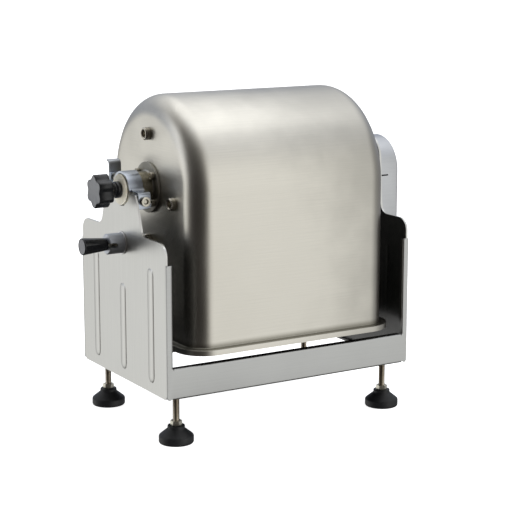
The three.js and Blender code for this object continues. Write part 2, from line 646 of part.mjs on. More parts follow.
for (const [y, z] of boltSpots) {
  const boltHole = (x) => holeX(x, TRUNNION_FLANGE + 2, y, axisZ + z, BOLT_SHANK_R + GAP, 5);
  leftTrunnion = leftTrunnion.subtract(boltHole(flangeBack - 1));
  rightTrunnion = rightTrunnion.subtract(boltHole(rightFlange - 1));
}
place("left_trunnion", "bright_steel", leftTrunnion);
place("right_trunnion", "bright_steel", rightTrunnion);

const boltSeat = flangeBack - GAP;
boltSpots.forEach(([y, z], i) => {
  const bolt = turned(
    [[boltSeat - BOLT_HEAD, 0], [boltSeat - BOLT_HEAD, BOLT_HEAD_R], [boltSeat, BOLT_HEAD_R],
      [boltSeat, BOLT_SHANK_R], [tankLeft + TANK_SHEET, BOLT_SHANK_R], [tankLeft + TANK_SHEET, 0]],
    "x", y, axisZ + z, 0, 12,
  );
  const socket = turned(rod(boltSeat - BOLT_HEAD - 1, boltSeat - 2.5, 2.6), "x", y, axisZ + z, 0, 6);
  place("trunnion_bolt_" + (i + 1), "bright_steel", bolt.subtract(socket));
});

const boss = { upside_down: 0, pouring: POUR_ANGLE, upright: 180 };
for (const [name, degrees] of Object.entries(boss)) {
  const a = THREE.MathUtils.degToRad(degrees);
  const ring = tube(flangeFace - BOSS_HEIGHT, flangeFace, LOCK_PIN_R + RUN, BOSS_R);
  place(
    "index_boss_" + name,
    "bright_steel",
    turned(ring, "x", -LOCK_DROP * Math.sin(a), axisZ - LOCK_DROP * Math.cos(a), 0, 20),
  );
}

// ---------- star knob, which is also the left pivot of the paddle shaft ----------
const washerFace = -plateOut - GAP;
const washerOut = washerFace - 2.4;
const stemFace = washerOut - GAP;
const knobBack = stemFace - KNOB_STEM;
const knobFace = knobBack - KNOB_DEPTH;
function knobOutline() {
  const s = [];
  const steps = KNOB_LOBES * 8;
  for (let i = 0; i < steps; i++) {
    const a = (2 * Math.PI * i) / steps;
    const r = KNOB_R - KNOB_SCALLOP * (0.5 + 0.5 * Math.cos(KNOB_LOBES * a));
    s.push(new THREE.Vector2(r * Math.cos(a), axisZ + r * Math.sin(a)));
  }
  return new THREE.Shape(s);
}
place(
  "star_knob",
  "black_plastic",
  sheetX(knobOutline(), knobFace, KNOB_DEPTH)
    .add(turned(rod(knobBack - 1, stemFace, KNOB_STEM_R), "x", 0, axisZ))
    .subtract(turned(rod(stemFace - 10, stemFace + 1, KNOB_STUD_R + GAP), "x", 0, axisZ)),
);
place("knob_washer", "nylon", turned(tube(washerOut, washerFace, studBore, WASHER_R), "x", 0, axisZ));
const shaftStart = hubEnd + 6;
place(
  "knob_stud",
  "bright_steel",
  turned(
    [[stemFace - 10 + GAP, 0], [stemFace - 10 + GAP, KNOB_STUD_R], [hubEnd - 2, KNOB_STUD_R],
      [hubEnd - 2, PIVOT_R], [shaftStart + 10, PIVOT_R], [shaftStart + 10, 0]],
    "x", 0, axisZ,
  ),
);

// ---------- paddles and their drive ----------
const shaftEnd = coverEnd - COVER_SHEET - 8;
place(
  "paddle_shaft",
  "bright_steel",
  turned(
    [[shaftStart, PIVOT_R + RUN], [shaftStart, SHAFT_R], [shaftEnd, SHAFT_R], [shaftEnd, 0],
      [shaftStart + 12, 0], [shaftStart + 12, PIVOT_R + RUN]],
    "x", 0, axisZ,
  ),
);
for (let i = 0; i < 4; i++) {
  const hub = turned(tube(-9, 9, SHAFT_R + GAP, SHAFT_R + 6), "x", 0, 0);
  const arm = box(-8, 8, -PADDLE_SHEET / 2, PADDLE_SHEET / 2, SHAFT_R + 3, PADDLE_REACH - 4);
  const half = PADDLE_WIDTH / 2;
  const thick = PADDLE_SHEET / 2;
  const blade = box(-half, half, -thick, thick, PADDLE_REACH - PADDLE_CHORD, PADDLE_REACH);
  const paddle = hub.add(arm).add(blade.rotate([0, 0, i % 2 ? PADDLE_TWIST : -PADDLE_TWIST]));
  const x = TANK_OFFSET + (i - 1.5) * PADDLE_PITCH;
  place("paddle_" + (i + 1), "satin_steel", paddle.rotate([90 * i, 0, 0]).translate([x, 0, axisZ]));
}

// Involute teeth about (0, z), the first one pointing at angle start.
function gearOutline(teeth, z, start) {
  const pitch = (GEAR_MODULE * teeth) / 2;
  const base = pitch * Math.cos(Math.PI / 9);
  const root = pitch - 1.25 * GEAR_MODULE;
  const tip = pitch + GEAR_MODULE;
  const involute = (r) => {
    const a = Math.acos(Math.min(1, base / r));
    return Math.tan(a) - a;
  };
  const halfAtPitch = Math.PI / (2 * teeth) - BACKLASH / (4 * pitch) + involute(pitch);
  const flank = [Math.max(base, root), pitch, tip];
  const outline = [];
  for (let i = 0; i < teeth; i++) {
    const middle = start + (2 * Math.PI * i) / teeth;
    const add = (r, a) => outline.push(new THREE.Vector2(r * Math.cos(a), z + r * Math.sin(a)));
    add(root, middle - halfAtPitch - 0.1 / teeth);
    for (const r of flank) add(r, middle - halfAtPitch + involute(r));
    for (const r of [...flank].reverse()) add(r, middle + halfAtPitch - involute(r));
    add(root, middle + halfAtPitch + 0.1 / teeth);
  }
  return new THREE.Shape(outline);
}
place(
  "paddle_gear",
  "gear_steel",
  sheetX(gearOutline(GEAR_TEETH, axisZ, -Math.PI / 2), gearX, GEAR_WIDTH).subtract(
    holeX(gearX - 1, GEAR_WIDTH + 2, 0, axisZ, SHAFT_R + GAP),
  ),
);
place(
  "gear_circlip",
  "bright_steel",
  turned(tube(gearX + GEAR_WIDTH + GAP, gearX + GEAR_WIDTH + 1.8, SHAFT_R + GAP, SHAFT_R + 3), "x", 0, axisZ),
);
place(
  "input_pinion",
  "gear_steel",
  sheetX(
    gearOutline(PINION_TEETH, inputZ, Math.PI / 2 + Math.PI / PINION_TEETH),
    gearX - (PINION_WIDTH - GEAR_WIDTH) / 2,
    PINION_WIDTH,
  ).subtract(holeX(gearX - 5, PINION_WIDTH + 10, 0, inputZ, INPUT_SHAFT_R + GAP)),
);
const inputEnd = coverEnd + INPUT_STICK_OUT;
place(
  "input_shaft",
  "bright_steel",
  turned(rod(plateIn, inputEnd, INPUT_SHAFT_R), "x", 0, inputZ)
    .subtract(box(inputEnd - 12, inputEnd + 1, 6, 10, inputZ - 10, inputZ + 10))
    .subtract(box(inputEnd - 12, inputEnd + 1, -10, -6, inputZ - 10, inputZ + 10)),
);
const flangeSeat = plateIn - GAP;
place(
  "right_bearing",
  "nylon",
  turned(
    [[bearingStart, bushInner], [bearingStart, bearingR], [flangeSeat - BEARING_FLANGE, bearingR],
      [flangeSeat - BEARING_FLANGE, BEARING_FLANGE_R], [flangeSeat, BEARING_FLANGE_R], [flangeSeat, bearingR],
      [bearingEnd, bearingR], [bearingEnd, bushInner]],
    "x", 0, axisZ,
  ),
);

// ---------- gear cover ----------
function coverOutline(inset) {
  const half = COVER_R - inset;
  const r = COVER_CORNER - inset;
  const low = coverFloor + inset;
  const s = new THREE.Shape();
  s.absarc(0, axisZ, half, 0, Math.PI);
  s.absarc(r - half, low + r, r, Math.PI, 1.5 * Math.PI);
  s.absarc(half - r, low + r, r, 1.5 * Math.PI, 2 * Math.PI);
  return s;
}
const bushOuter = INPUT_SHAFT_R + RUN + 3;
const [slotFrom, slotLength, slotHeight] = COVER_SLOT;
const slotStart = plateOut + slotFrom;
const slotLow = axisZ - 6;
let cover = sheetX(coverOutline(0), plateOut + GAP, COVER_DEPTH - GAP, 10)
  .subtract(sheetX(coverOutline(COVER_SHEET), plateOut - 1, COVER_DEPTH + 1 - COVER_SHEET, 10))
  .subtract(holeX(coverEnd - COVER_SHEET - 1, COVER_SHEET + 2, 0, inputZ, bushOuter + GAP))
  .subtract(box(slotStart, slotStart + slotLength, -COVER_R - 1, 4 - COVER_R, slotLow, slotLow + slotHeight));
for (const [y, z] of pillarSpots)
  cover = cover.subtract(holeX(coverEnd - COVER_SHEET - 1, COVER_SHEET + 2, y, z, COVER_SCREW_R + GAP, 5));
place("gear_cover", "stand_steel", cover);
place(
  "input_bush",
  "bronze",
  turned(
    [[coverEnd - COVER_SHEET - 2, INPUT_SHAFT_R + RUN], [coverEnd - COVER_SHEET - 2, bushOuter],
      [coverEnd + GAP, bushOuter], [coverEnd + GAP, bushOuter + 3], [coverEnd + GAP + 2.5, bushOuter + 3],
      [coverEnd + GAP + 2.5, INPUT_SHAFT_R + RUN]],
    "x", 0, inputZ,
  ),
);
pillarSpots.forEach(([y, z], i) => {
  const seat = coverEnd + GAP;
  const screwEnd = seat - COVER_SHEET - 9;
  place(
    "cover_screw_" + (i + 1),
    "bright_steel",
    turned(
      [[screwEnd, 0], [screwEnd, COVER_SCREW_R], [seat, COVER_SCREW_R], [seat, 4.2],
        [seat + 1.4, 4.2], [seat + 2.8, 2.6], [seat + 2.8, 0]],
      "x", y, z, 0, 12,
    ),
  );
});

// ---------- feet ----------
function hexNut(x, y, low) {
  const s = new THREE.Shape();
  const corner = NUT_FLATS / Math.sqrt(3);
  for (let i = 0; i < 6; i++) {
    const a = (Math.PI * i) / 3;
    if (i) s.lineTo(x + corner * Math.cos(a), y + corner * Math.sin(a));
    else s.moveTo(x + corner, y);
  }
  const bore = turned(rod(low - 1, low + NUT_HEIGHT + 1, STUD_R + GAP), "z", y, 0, x, 16);
  return sheetZ(s, low, NUT_HEIGHT).subtract(bore);
}
const studSocket = 13;
const padProfile = [
  [0, 0], [0, PAD_R - 1.5], [1.5, PAD_R], [PAD_RIM, PAD_R], [PAD_CONE_TOP, PAD_COLLAR_R],
  [PAD_HEIGHT - 1, PAD_COLLAR_R], [PAD_HEIGHT, PAD_COLLAR_R - 1], [PAD_HEIGHT, STUD_R + GAP],
  [studSocket, STUD_R + GAP], [studSocket, 0],
];
const corners = { front_left: [-1, -1], front_right: [1, -1], rear_left: [-1, 1], rear_right: [1, 1] };
for (const [name, [sx, sy]] of Object.entries(corners)) {
  const [x, y] = [sx * FOOT_X, sy * FOOT_Y];
  place("foot_pad_" + name, "pad_rubber", turned(padProfile, "z", y, 0, x, 20));
  place("foot_nut_" + name, "bright_steel", hexNut(x, y, PAD_HEIGHT + GAP));
  place(
    "foot_stud_" + name,
    "stud_steel",
    turned(rod(studSocket + GAP, FOOT_HEIGHT + STUD_ABOVE_STAND, STUD_R), "z", y, 0, x, 16),
  );
}

// The origin goes under the middle of the whole object.
const size = new THREE.Box3().setFromObject(group);
group.position.set(-(size.min.x + size.max.x) / 2, -(size.min.y + size.max.y) / 2, -size.min.z);

export default group;
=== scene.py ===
import math

import bmesh
import bpy
from mathutils import Matrix, Vector


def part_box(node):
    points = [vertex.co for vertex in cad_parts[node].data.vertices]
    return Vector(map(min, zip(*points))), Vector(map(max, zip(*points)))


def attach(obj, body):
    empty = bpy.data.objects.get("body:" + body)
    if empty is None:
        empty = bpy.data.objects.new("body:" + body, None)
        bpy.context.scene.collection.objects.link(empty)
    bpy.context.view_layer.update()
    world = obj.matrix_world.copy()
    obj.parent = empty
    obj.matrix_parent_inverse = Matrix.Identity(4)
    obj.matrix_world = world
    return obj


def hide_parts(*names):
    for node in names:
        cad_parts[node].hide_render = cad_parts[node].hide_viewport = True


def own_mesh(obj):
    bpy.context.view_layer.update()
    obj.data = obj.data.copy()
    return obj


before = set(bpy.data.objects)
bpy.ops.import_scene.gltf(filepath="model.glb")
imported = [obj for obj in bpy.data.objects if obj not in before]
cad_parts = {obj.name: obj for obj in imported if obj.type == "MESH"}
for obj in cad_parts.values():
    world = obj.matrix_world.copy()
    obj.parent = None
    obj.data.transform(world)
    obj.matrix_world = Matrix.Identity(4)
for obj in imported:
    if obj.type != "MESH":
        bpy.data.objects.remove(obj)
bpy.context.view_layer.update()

# ---------- camera, floor and light ----------
# A long lens looks a little down on the front left corner. The floor is plain and pale. The light is a
# white room with one dark side, which is what gives bent satin steel its dark bands.
towards_camera = Vector((-0.5037, -0.8413, 0.1963)).normalized()
camera_data = bpy.data.cameras.new("camera")
camera_data.sensor_width = 36.0
camera_data.lens = 110.37
camera = bpy.data.objects.new("camera", camera_data)
stand_low, stand_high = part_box("front_frame")
camera.location = ((stand_low.x + stand_high.x) / 2 - 1.150, -1.9521, 0.6813)
camera.rotation_euler = towards_camera.to_track_quat("Z", "Y").to_euler()
bpy.context.scene.collection.objects.link(camera)
bpy.context.scene.camera = camera
bpy.context.scene.view_settings.view_transform = "Standard"


def linear(colour):
    """A sRGB hex colour as linear red, green, blue and alpha."""
    values = [int(colour[i:i + 2], 16) / 255 for i in (1, 3, 5)]
    return tuple(v / 12.92 if v <= 0.04045 else ((v + 0.055) / 1.055) ** 2.4 for v in values) + (1.0,)


def node(tree, kind, settings=None, inputs=None):
    """Adds one node, sets its properties and fills or links its inputs."""
    made = tree.nodes.new(kind)
    for name, value in (settings or {}).items():
        setattr(made, name, value)
    for name, value in (inputs or {}).items():
        if isinstance(value, bpy.types.NodeSocket):
            tree.links.new(value, made.inputs[name])
        else:
            made.inputs[name].default_value = value
    return made


def ramp(tree, factor, stops):
    """A colour ramp through (position, hex colour) stops."""
    made = node(tree, "ShaderNodeValToRGB", None, {"Fac": factor})
    stops_made = made.color_ramp.elements
    for position, colour in stops[2:]:
        stops_made.new(position)
    for element, (position, colour) in zip(stops_made, sorted(stops)):
        element.position = position
        element.color = linear(colour)
    return made.outputs["Color"]


floor_mesh = bpy.data.meshes.new("floor")
floor_form = bmesh.new()
bmesh.ops.create_grid(floor_form, x_segments=1, y_segments=1, size=6.0)
floor_form.to_mesh(floor_mesh)
floor = bpy.data.objects.new("floor", floor_mesh)
bpy.context.scene.collection.objects.link(floor)
floor.visible_glossy = False
floor_paint = bpy.data.materials.new("pale_floor_paint")
floor_paint.use_nodes = True
floor_shader = floor_paint.node_tree.nodes["Principled BSDF"].inputs
floor_shader["Base Color"].default_value = linear("#FBFBFB")
floor_shader["Roughness"].default_value = 0.9
floor_shader["Emission Color"].default_value = linear("#FFFFFF")
floor_shader["Emission Strength"].default_value = 0.95
floor_mesh.materials.append(floor_paint)


def remap(tree, value, low, high, to_low=0.0, to_high=1.0, way="LINEAR"):
    """Carries a value from one range over to another."""
    return node(tree, "ShaderNodeMapRange", {"interpolation_type": way}, {
        "Value": value, "From Min": low, "From Max": high, "To Min": to_low, "To Max": to_high,
    }).outputs["Result"]


def eased(tree, value, low, high, to_low=0.0, to_high=1.0):
    """The same with a soft start and end."""
    return remap(tree, value, low, high, to_low, to_high, "SMOOTHSTEP")


def mixed(tree, factor, first, second):
    """A colour between two others."""
    return node(tree, "ShaderNodeMix", {"data_type": "RGBA"}, {0: factor, 6: first, 7: second}).outputs[2]


room = bpy.data.worlds.new("studio")
bpy.context.scene.world = room
room.use_nodes = True
walls = room.node_tree
walls.nodes.clear()
heading = node(walls, "ShaderNodeTexCoord").outputs["Generated"]
dark_side = (-0.83, -0.55, 0.0)
facing = node(walls, "ShaderNodeVectorMath", {"operation": "DOT_PRODUCT"}, {0: heading, 1: dark_side})
to_dark_side = remap(walls, facing.outputs["Value"], -1.0, 1.0)
split = node(walls, "ShaderNodeSeparateXYZ", None, {0: heading}).outputs
level_light = ramp(walls, to_dark_side, [
    (0.0, "#77777A"), (0.27, "#8E8E8C"), (0.41, "#D2D2D0"), (0.50, "#DEDEDC"), (0.625, "#E4E4E2"),
    (0.71, "#DAD9D6"), (0.78, "#8E8B87"), (0.85, "#2E2B29"), (1.0, "#242221"),
])
rear_light = ramp(walls, to_dark_side, [
    (0.0, "#9499A4"), (0.74, "#8F949E"), (0.84, "#43413F"), (0.95, "#302F2E"),
])
high_light = ramp(walls, to_dark_side, [
    (0.0, "#DEE0E4"), (0.5, "#CCCDCF"), (0.68, "#8E8C89"), (0.80, "#3A3835"),
])
low_light = mixed(walls, eased(walls, split["Z"], -0.60, -0.34), linear("#353331"), level_light)
horizon_light = mixed(walls, eased(walls, split["Y"], -0.25, 0.35), level_light, rear_light)
middle_light = mixed(walls, eased(walls, split["Z"], -0.06, 0.10), low_light, horizon_light)
upper_light = mixed(walls, eased(walls, split["Z"], 0.36, 0.66), middle_light, high_light)
room_colour = mixed(walls, eased(walls, split["Z"], 0.86, 0.99), upper_light, linear("#CBCDD0"))
seen_directly = node(walls, "ShaderNodeLightPath").outputs["Is Camera Ray"]
shown = mixed(walls, seen_directly, room_colour, linear("#FFFFFF"))
backdrop = node(walls, "ShaderNodeBackground", None, {"Color": shown, "Strength": 1.4})
node(walls, "ShaderNodeOutputWorld", None, {"Surface": backdrop.outputs[0]})


def softbox(name, place, aim, size, watts):
    """A square lamp aimed at a point."""
    data = bpy.data.lights.new(name, "AREA")
    data.shape = "RECTANGLE"
    data.size, data.size_y = size
    data.energy = watts
    lamp = bpy.data.objects.new(name, data)
    lamp.location = place
    lamp.rotation_euler = (Vector(aim) - Vector(place)).to_track_quat("-Z", "Y").to_euler()
    bpy.context.scene.collection.objects.link(lamp)


softbox("overhead_softbox", (0.3, 0.2, 2.4), (0.0, 0.0, 0.2), (2.4, 1.8), 9)
softbox("left_rear_softbox", (-2.2, 0.9, 1.0), (-0.1, 0.0, 0.3), (1.2, 1.6), 5)


# ---------- side plates ----------
# Two plates of 3 mm satin stainless sheet, cut to shape with a neck that rises to the tilt axis, and
# stiffened by three upright ribs pressed inwards. The left neck ends in a fork; the right one is wider and
# carries the gears.
X, Y, Z = (1, 0, 0), (0, 1, 0), (0, 0, 1)


def corners(name):
    """Lowest and highest corner of a CAD node, in millimetres."""
    low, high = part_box(name)
    return low * 1000, high * 1000


def centre(name):
    """The middle of a CAD node, in millimetres."""
    return [(low + high) / 2 for low, high in zip(*corners(name))]


def span(name):
    """Where a CAD node starts along X, and its length, in millimetres."""
    low, high = corners(name)
    return low.x, high.x - low.x


def verts_in(made):
    """The vertices among a form's elements."""
    return [part for part in made if isinstance(part, bmesh.types.BMVert)]


def rim_in(made):
    """The open edges among a form's elements."""
    return [part for part in made if isinstance(part, bmesh.types.BMEdge) and part.is_boundary]


def grow(form, edges):
    """Draws a form's open edges out; returns the new vertices, still in place, and the new open edges."""
    made = bmesh.ops.extrude_edge_only(form, edges=edges)["geom"]
    return verts_in(made), rim_in(made)


def rounded(form, geom, radius, segments, affect="VERTICES"):
    """Rounds corners or folds of a form."""
    bmesh.ops.bevel(form, geom=geom, offset=radius, offset_type="OFFSET", affect=affect, segments=segments,
                    profile=0.5, material=-1)


def flat_outline(form, points, lay):
    """A flat face through (a, b, rounding) points; lay puts a and b in space."""
    made = [form.verts.new(lay(a, b)) for a, b, rounding in points]
    form.faces.new(made)
    for vertex, (a, b, rounding) in zip(made, points):
        if rounding:
            rounded(form, [vertex], rounding, 10 if rounding > 3 else 5)


def raise_faces(form, by):
    """Gives every face of the form a thickness along one direction."""
    extruded = bmesh.ops.extrude_face_region(form, geom=form.faces[:])["geom"]
    bmesh.ops.translate(form, verts=verts_in(extruded), vec=Vector(by))


def sunk(form, by):
    """Closes a form's open rim with a blind hole along X."""
    made, rim = grow(form, rim_in(form.edges))
    bmesh.ops.translate(form, verts=made, vec=(by, 0, 0))
    bmesh.ops.contextual_create(form, geom=rim)


def turned(form, profile, axis, middle, steps=64, turn=360.0, start=None):
    """Spins a line of (along, radius) points about an axis through the middle."""
    axis, middle = Vector(axis), Vector(middle)
    out = Vector(start) if start else (Vector((1, 0, 0)) if abs(axis.z) > 0.5 else Vector((0, 0, 1)))
    line = [form.verts.new(middle + axis * along + out * radius) for along, radius in profile]
    edges = [form.edges.new(pair) for pair in zip(line, line[1:])]
    bmesh.ops.spin(
        form, geom=line + edges, cent=middle, axis=axis, angle=math.radians(turn), steps=steps,
        use_merge=abs(turn) == 360.0,
    )
    bmesh.ops.remove_doubles(form, verts=form.verts, dist=1e-4)


def tube(bore, outer):
    """A closed profile with a straight bore, from its outer (along, radius) points."""
    first, last = (outer[0][0], bore), (outer[-1][0], bore)
    return [first, *outer, last, first]


def block(form, low, high):
    """A box between two corners."""
    made = bmesh.ops.create_cube(form, size=1.0)["verts"]
    low, high = Vector(low), Vector(high)
    bmesh.ops.scale(form, verts=made, vec=high - low)
    bmesh.ops.translate(form, verts=made, vec=(low + high) / 2)


def set_down(form, name):
    """Makes a form in millimetres an object in metres."""
    bmesh.ops.scale(form, verts=form.verts, vec=(0.001, 0.001, 0.001))
    mesh = bpy.data.meshes.new(name)
    form.to_mesh(mesh)
    form.free()
    piece = bpy.data.objects.new(name, mesh)
    bpy.context.scene.collection.objects.link(piece)
    return piece


def made_solid(form, name):
    """An object from a closed form."""
    bmesh.ops.remove_doubles(form, verts=form.verts, dist=1e-4)
    bmesh.ops.recalc_face_normals(form, faces=form.faces)
    return set_down(form, name)


def settle(piece):
    """Makes the piece's modifiers part of its mesh."""
    done = bpy.data.meshes.new_from_object(piece.evaluated_get(bpy.context.evaluated_depsgraph_get()))
    piece.modifiers.clear()
    piece.data = done


def thickened(piece, thickness, offset=-1.0, even=True):
    """Gives an open sheet its thickness, behind its outer side or, at offset 0, on both sides."""
    wall = piece.modifiers.new("sheet", "SOLIDIFY")
    wall.thickness = thickness / 1000
    wall.offset = offset
    wall.use_even_offset = even
    settle(piece)
    return piece


def made_sheet(form, name, thickness, first, outwards, even=True):
    """Sheet metal from an open form. The face that comes first in order is turned to look outwards."""
    bmesh.ops.remove_doubles(form, verts=form.verts, dist=1e-4)
    bmesh.ops.recalc_face_normals(form, faces=form.faces)
    if max(form.faces, key=first).normal.dot(Vector(outwards)) < 0:
        bmesh.ops.reverse_faces(form, faces=form.faces)
    return thickened(set_down(form, name), thickness, even=even)


def joined(piece, form, how="DIFFERENCE"):
    """Cuts a form out of a piece, or adds it to the piece."""
    other = made_solid(form, piece.name + "_tool")
    step = piece.modifiers.new(how.lower(), "BOOLEAN")
    step.operation = how
    step.solver = "EXACT"
    step.object = other
    settle(piece)
    bpy.data.objects.remove(other)


def bored(piece, radius, axis, middle, start, end, steps=48):
    """Drills a round hole from start to end along an axis."""
    tool = bmesh.new()
    turned(tool, [(start, 0), (start, radius), (end, radius), (end, 0)], axis, middle, steps)
    joined(piece, tool)


def milled(piece, low, high):
    """Cuts a box away."""
    tool = bmesh.new()
    block(tool, low, high)
    joined(piece, tool)


def finish_piece(piece, body, slot, material, nodes=(), edge=0.4, sharp=32.0, flat=False):
    """Eases the edges, sets the finish and ties the piece to its CAD body; flat keeps wide faces evenly lit."""
    mesh = piece.data
    mesh.materials.clear()
    mesh.materials.append(material)
    for face in mesh.polygons:
        face.use_smooth = True
    mesh.set_sharp_from_angle(angle=math.radians(sharp))
    if edge:
        ease = piece.modifiers.new("eased_edges", "BEVEL")
        ease.width = edge / 1000
        ease.segments = 2
        ease.limit_method = "ANGLE"
        ease.angle_limit = math.radians(sharp)
        ease.harden_normals = not flat
    if flat:
        even = piece.modifiers.new("even_faces", "WEIGHTED_NORMAL")
        even.keep_sharp = False
        even.weight = 100
    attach(piece, body)
    if nodes:
        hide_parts(*nodes)


def turned_piece(name, profile, place, finish, nodes=(), steps=64, axis=X, edge=0.4, sharp=32.0, shape=None):
    """A turned part. finish is its body, slot and material; shape works on the form before it is set down."""
    form = bmesh.new()
    turned(form, profile, axis, place, steps)
    if shape:
        shape(form)
    piece = made_solid(form, name)
    finish_piece(piece, *finish, nodes, edge, sharp)
    return piece


def second_finish(piece, material, test):
    """Gives the faces that pass a test of their normal and their middle in mm another finish."""
    piece.data.materials.append(material)
    for face in piece.data.polygons:
        if test(face.normal, face.center * 1000):
            face.material_index = 1


def toned(colour, by):
    """A hex colour made darker or lighter by a share of itself."""
    return tuple(min(1.0, value * (1 + by)) for value in linear(colour)[:3]) + (1.0,)


def new_finish(name):
    """An empty material, its nodes, and the place on the piece in object coordinates."""
    material = bpy.data.materials.new(name)
    material.use_nodes = True
    tree = material.node_tree
    tree.nodes.clear()
    return material, tree, node(tree, "ShaderNodeTexCoord").outputs["Object"]


def noise(tree, place, scale, detail=2.0, roughness=0.5, output="Fac"):
    """Cloudy noise; a scale of three numbers stretches it."""
    if isinstance(scale, (list, tuple)):
        place = node(tree, "ShaderNodeMapping", None, {"Vector": place, "Scale": scale}).outputs["Vector"]
        scale = 1.0
    return node(tree, "ShaderNodeTexNoise", None, {
        "Vector": place, "Scale": scale, "Detail": detail, "Roughness": roughness,
    }).outputs[output]


def sums(tree, operation, first, second):
    """One sum on two values."""
    return node(tree, "ShaderNodeMath", {"operation": operation}, {0: first, 1: second}).outputs[0]


def scaled(tree, vector, by):
    """A vector or colour times a value."""
    return node(tree, "ShaderNodeVectorMath", {"operation": "SCALE"}, {0: vector, "Scale": by}).outputs[0]


def surfaced(material, height, strength, distance, **inputs):
    """Ends a material with fine relief, distance in metres, and its shader; returns it."""
    tree = material.node_tree
    relief = node(tree, "ShaderNodeBump", None, {"Height": height, "Strength": strength, "Distance": distance})
    shader = node(tree, "ShaderNodeBsdfPrincipled", None, {
        **{name.replace("_", " "): value for name, value in inputs.items()}, "Normal": relief.outputs["Normal"],
    })
    node(tree, "ShaderNodeOutputMaterial", None, {"Surface": shader.outputs[0]})
    return material


def satin_steel(name, colour, roughness, grain, run, pitch, cloud=0.05, ends=None, painted_highlight=None, painted_seam_shade=None):
    """Brushed stainless steel. run and pitch are the brush marks' length and spacing in mm, grain their way.

    ends is their way on the end walls. The argument after it gives the middle and reach in mm of a painted
    highlight, a broad patch that is brighter in its middle and darker away from it. The last one gives the
    height of a rim seam above which a thin band of painted shade darkens the wall.
    """
    material, tree, place = new_finish(name)

    def marks(way):
        stretch = [1000 / pitch] * 3
        stretch["xyz".index(way)] = 1000 / run
        return noise(tree, place, stretch, 3.0, 0.6)

    lines = marks(grain)
    if ends:
        normal = node(tree, "ShaderNodeNewGeometry").outputs["Normal"]
        turn = node(tree, "ShaderNodeSeparateXYZ", None, {0: normal}).outputs["XYZ".index(grain.upper())]
        onto_end = eased(tree, sums(tree, "ABSOLUTE", turn, 0.0), 0.55, 0.9)
        both = {0: onto_end, 2: lines, 3: marks(ends)}
        lines = node(tree, "ShaderNodeMix", {"data_type": "FLOAT"}, both).outputs[0]
    clouds = noise(tree, place, 14.0, 4.0, 0.55)
    clouded = mixed(tree, clouds, toned(colour, -cloud), toned(colour, cloud))
    tint = scaled(tree, clouded, remap(tree, lines, 0.3, 0.7, 0.95, 1.03))
    # Painted highlight: a broad soft patch, brighter in its middle and darker away from it, stands in for the
    # glow of a near lamp.
    if painted_highlight:
        middle, reach = painted_highlight
        about = node(tree, "ShaderNodeMapping", None, {
            "Vector": place, "Location": [-m / r for m, r in zip(middle, reach)],
            "Scale": [1000 / r for r in reach],
        }).outputs["Vector"]
        wavy = scaled(tree, noise(tree, place, 22.0, 3.0, output="Color"), 0.35)
        about = node(tree, "ShaderNodeVectorMath", {"operation": "ADD"}, {0: about, 1: wavy}).outputs[0]
        highlight_patch = node(tree, "ShaderNodeTexGradient", {"gradient_type": "SPHERICAL"}, {"Vector": about})
        tint = scaled(tree, tint, eased(tree, highlight_patch.outputs["Fac"], 0.0, 0.55, 0.74, 1.06))
    # Painted shade: a thin dark band on the wall just above the rim's ledge, where shade falls in the crease.
    if painted_seam_shade:
        level = node(tree, "ShaderNodeSeparateXYZ", None, {0: place}).outputs["Z"]
        above = eased(tree, level, (painted_seam_shade + 10) / 1000, painted_seam_shade / 1000)
        lip = remap(tree, level, (painted_seam_shade - 0.9) / 1000, (painted_seam_shade - 0.3) / 1000)
        crease_shade = sums(tree, "MULTIPLY", sums(tree, "MULTIPLY", above, lip), 0.6)
        tint = mixed(tree, crease_shade, tint, linear("#57533F"))
    rough = remap(tree, sums(tree, "ADD", lines, clouds), 0.6, 1.4, roughness - 0.05, roughness + 0.05)
    return surfaced(material, lines, 0.12, 0.0003, Base_Color=tint, Metallic=1.0, Roughness=rough)


# Cold-rolled stainless sheet, brushed up and down: long faint lines and a soft, even reflection.
plate_steel = satin_steel("brushed_stainless_sheet_upright", "#D6D6D3", 0.33, "z", run=90.0, pitch=1.4,
                          cloud=0.03)
# Its inner faces keep the dull mill finish and get a much darker tone, which is painted shade for the shadow
# between the plates. The frames' returns and shelves get the same painted shade.
shaded_inner_steel = satin_steel("mill_finish_stainless_sheet_painted_shade", "#6C6C6C", 0.42, "z", run=90.0, pitch=2.0, cloud=0.06)

left_low, left_high = corners("left_side_plate")
right_low, right_high = corners("right_side_plate")
foot_height = left_low.z
axis_z = centre("left_trunnion")[2]
lock_z = centre("lock_barrel")[2]
input_z = centre("input_shaft")[2]
on_axis = (0, 0, axis_z)
shoulder_z = foot_height + 215.6
plate_edge = left_high.y
sheet = 3.0
gap = 0.3  # between parts that touch or run in each other
lip = 5.0
rib_radius = 9.6
rib_depth = 0.3
punch_lift = 2.2  # how far the punch's middle line stays outside the face, for a soft-edged rib


def punch(form, x, y, low_z, high_z, depth):
    """A pressed rib's punch: a round-ended rod squeezed flat along X."""
    angles = [math.radians(degrees) for degrees in (15, 35, 60, 90)]
    bend = [(rib_radius * math.cos(a), rib_radius * math.sin(a)) for a in angles]
    length = high_z - low_z
    turned(form, [(0, 0)] + [(rib_radius - along, out) for along, out in bend]
           + [(length - rib_radius + along, out) for along, out in reversed(bend)] + [(length, 0)],
           Z, (0, y, low_z), 24)
    bmesh.ops.scale(form, verts=form.verts, vec=(depth / rib_radius, 1, 1))
    bmesh.ops.translate(form, verts=form.verts, vec=(x, 0, 0))


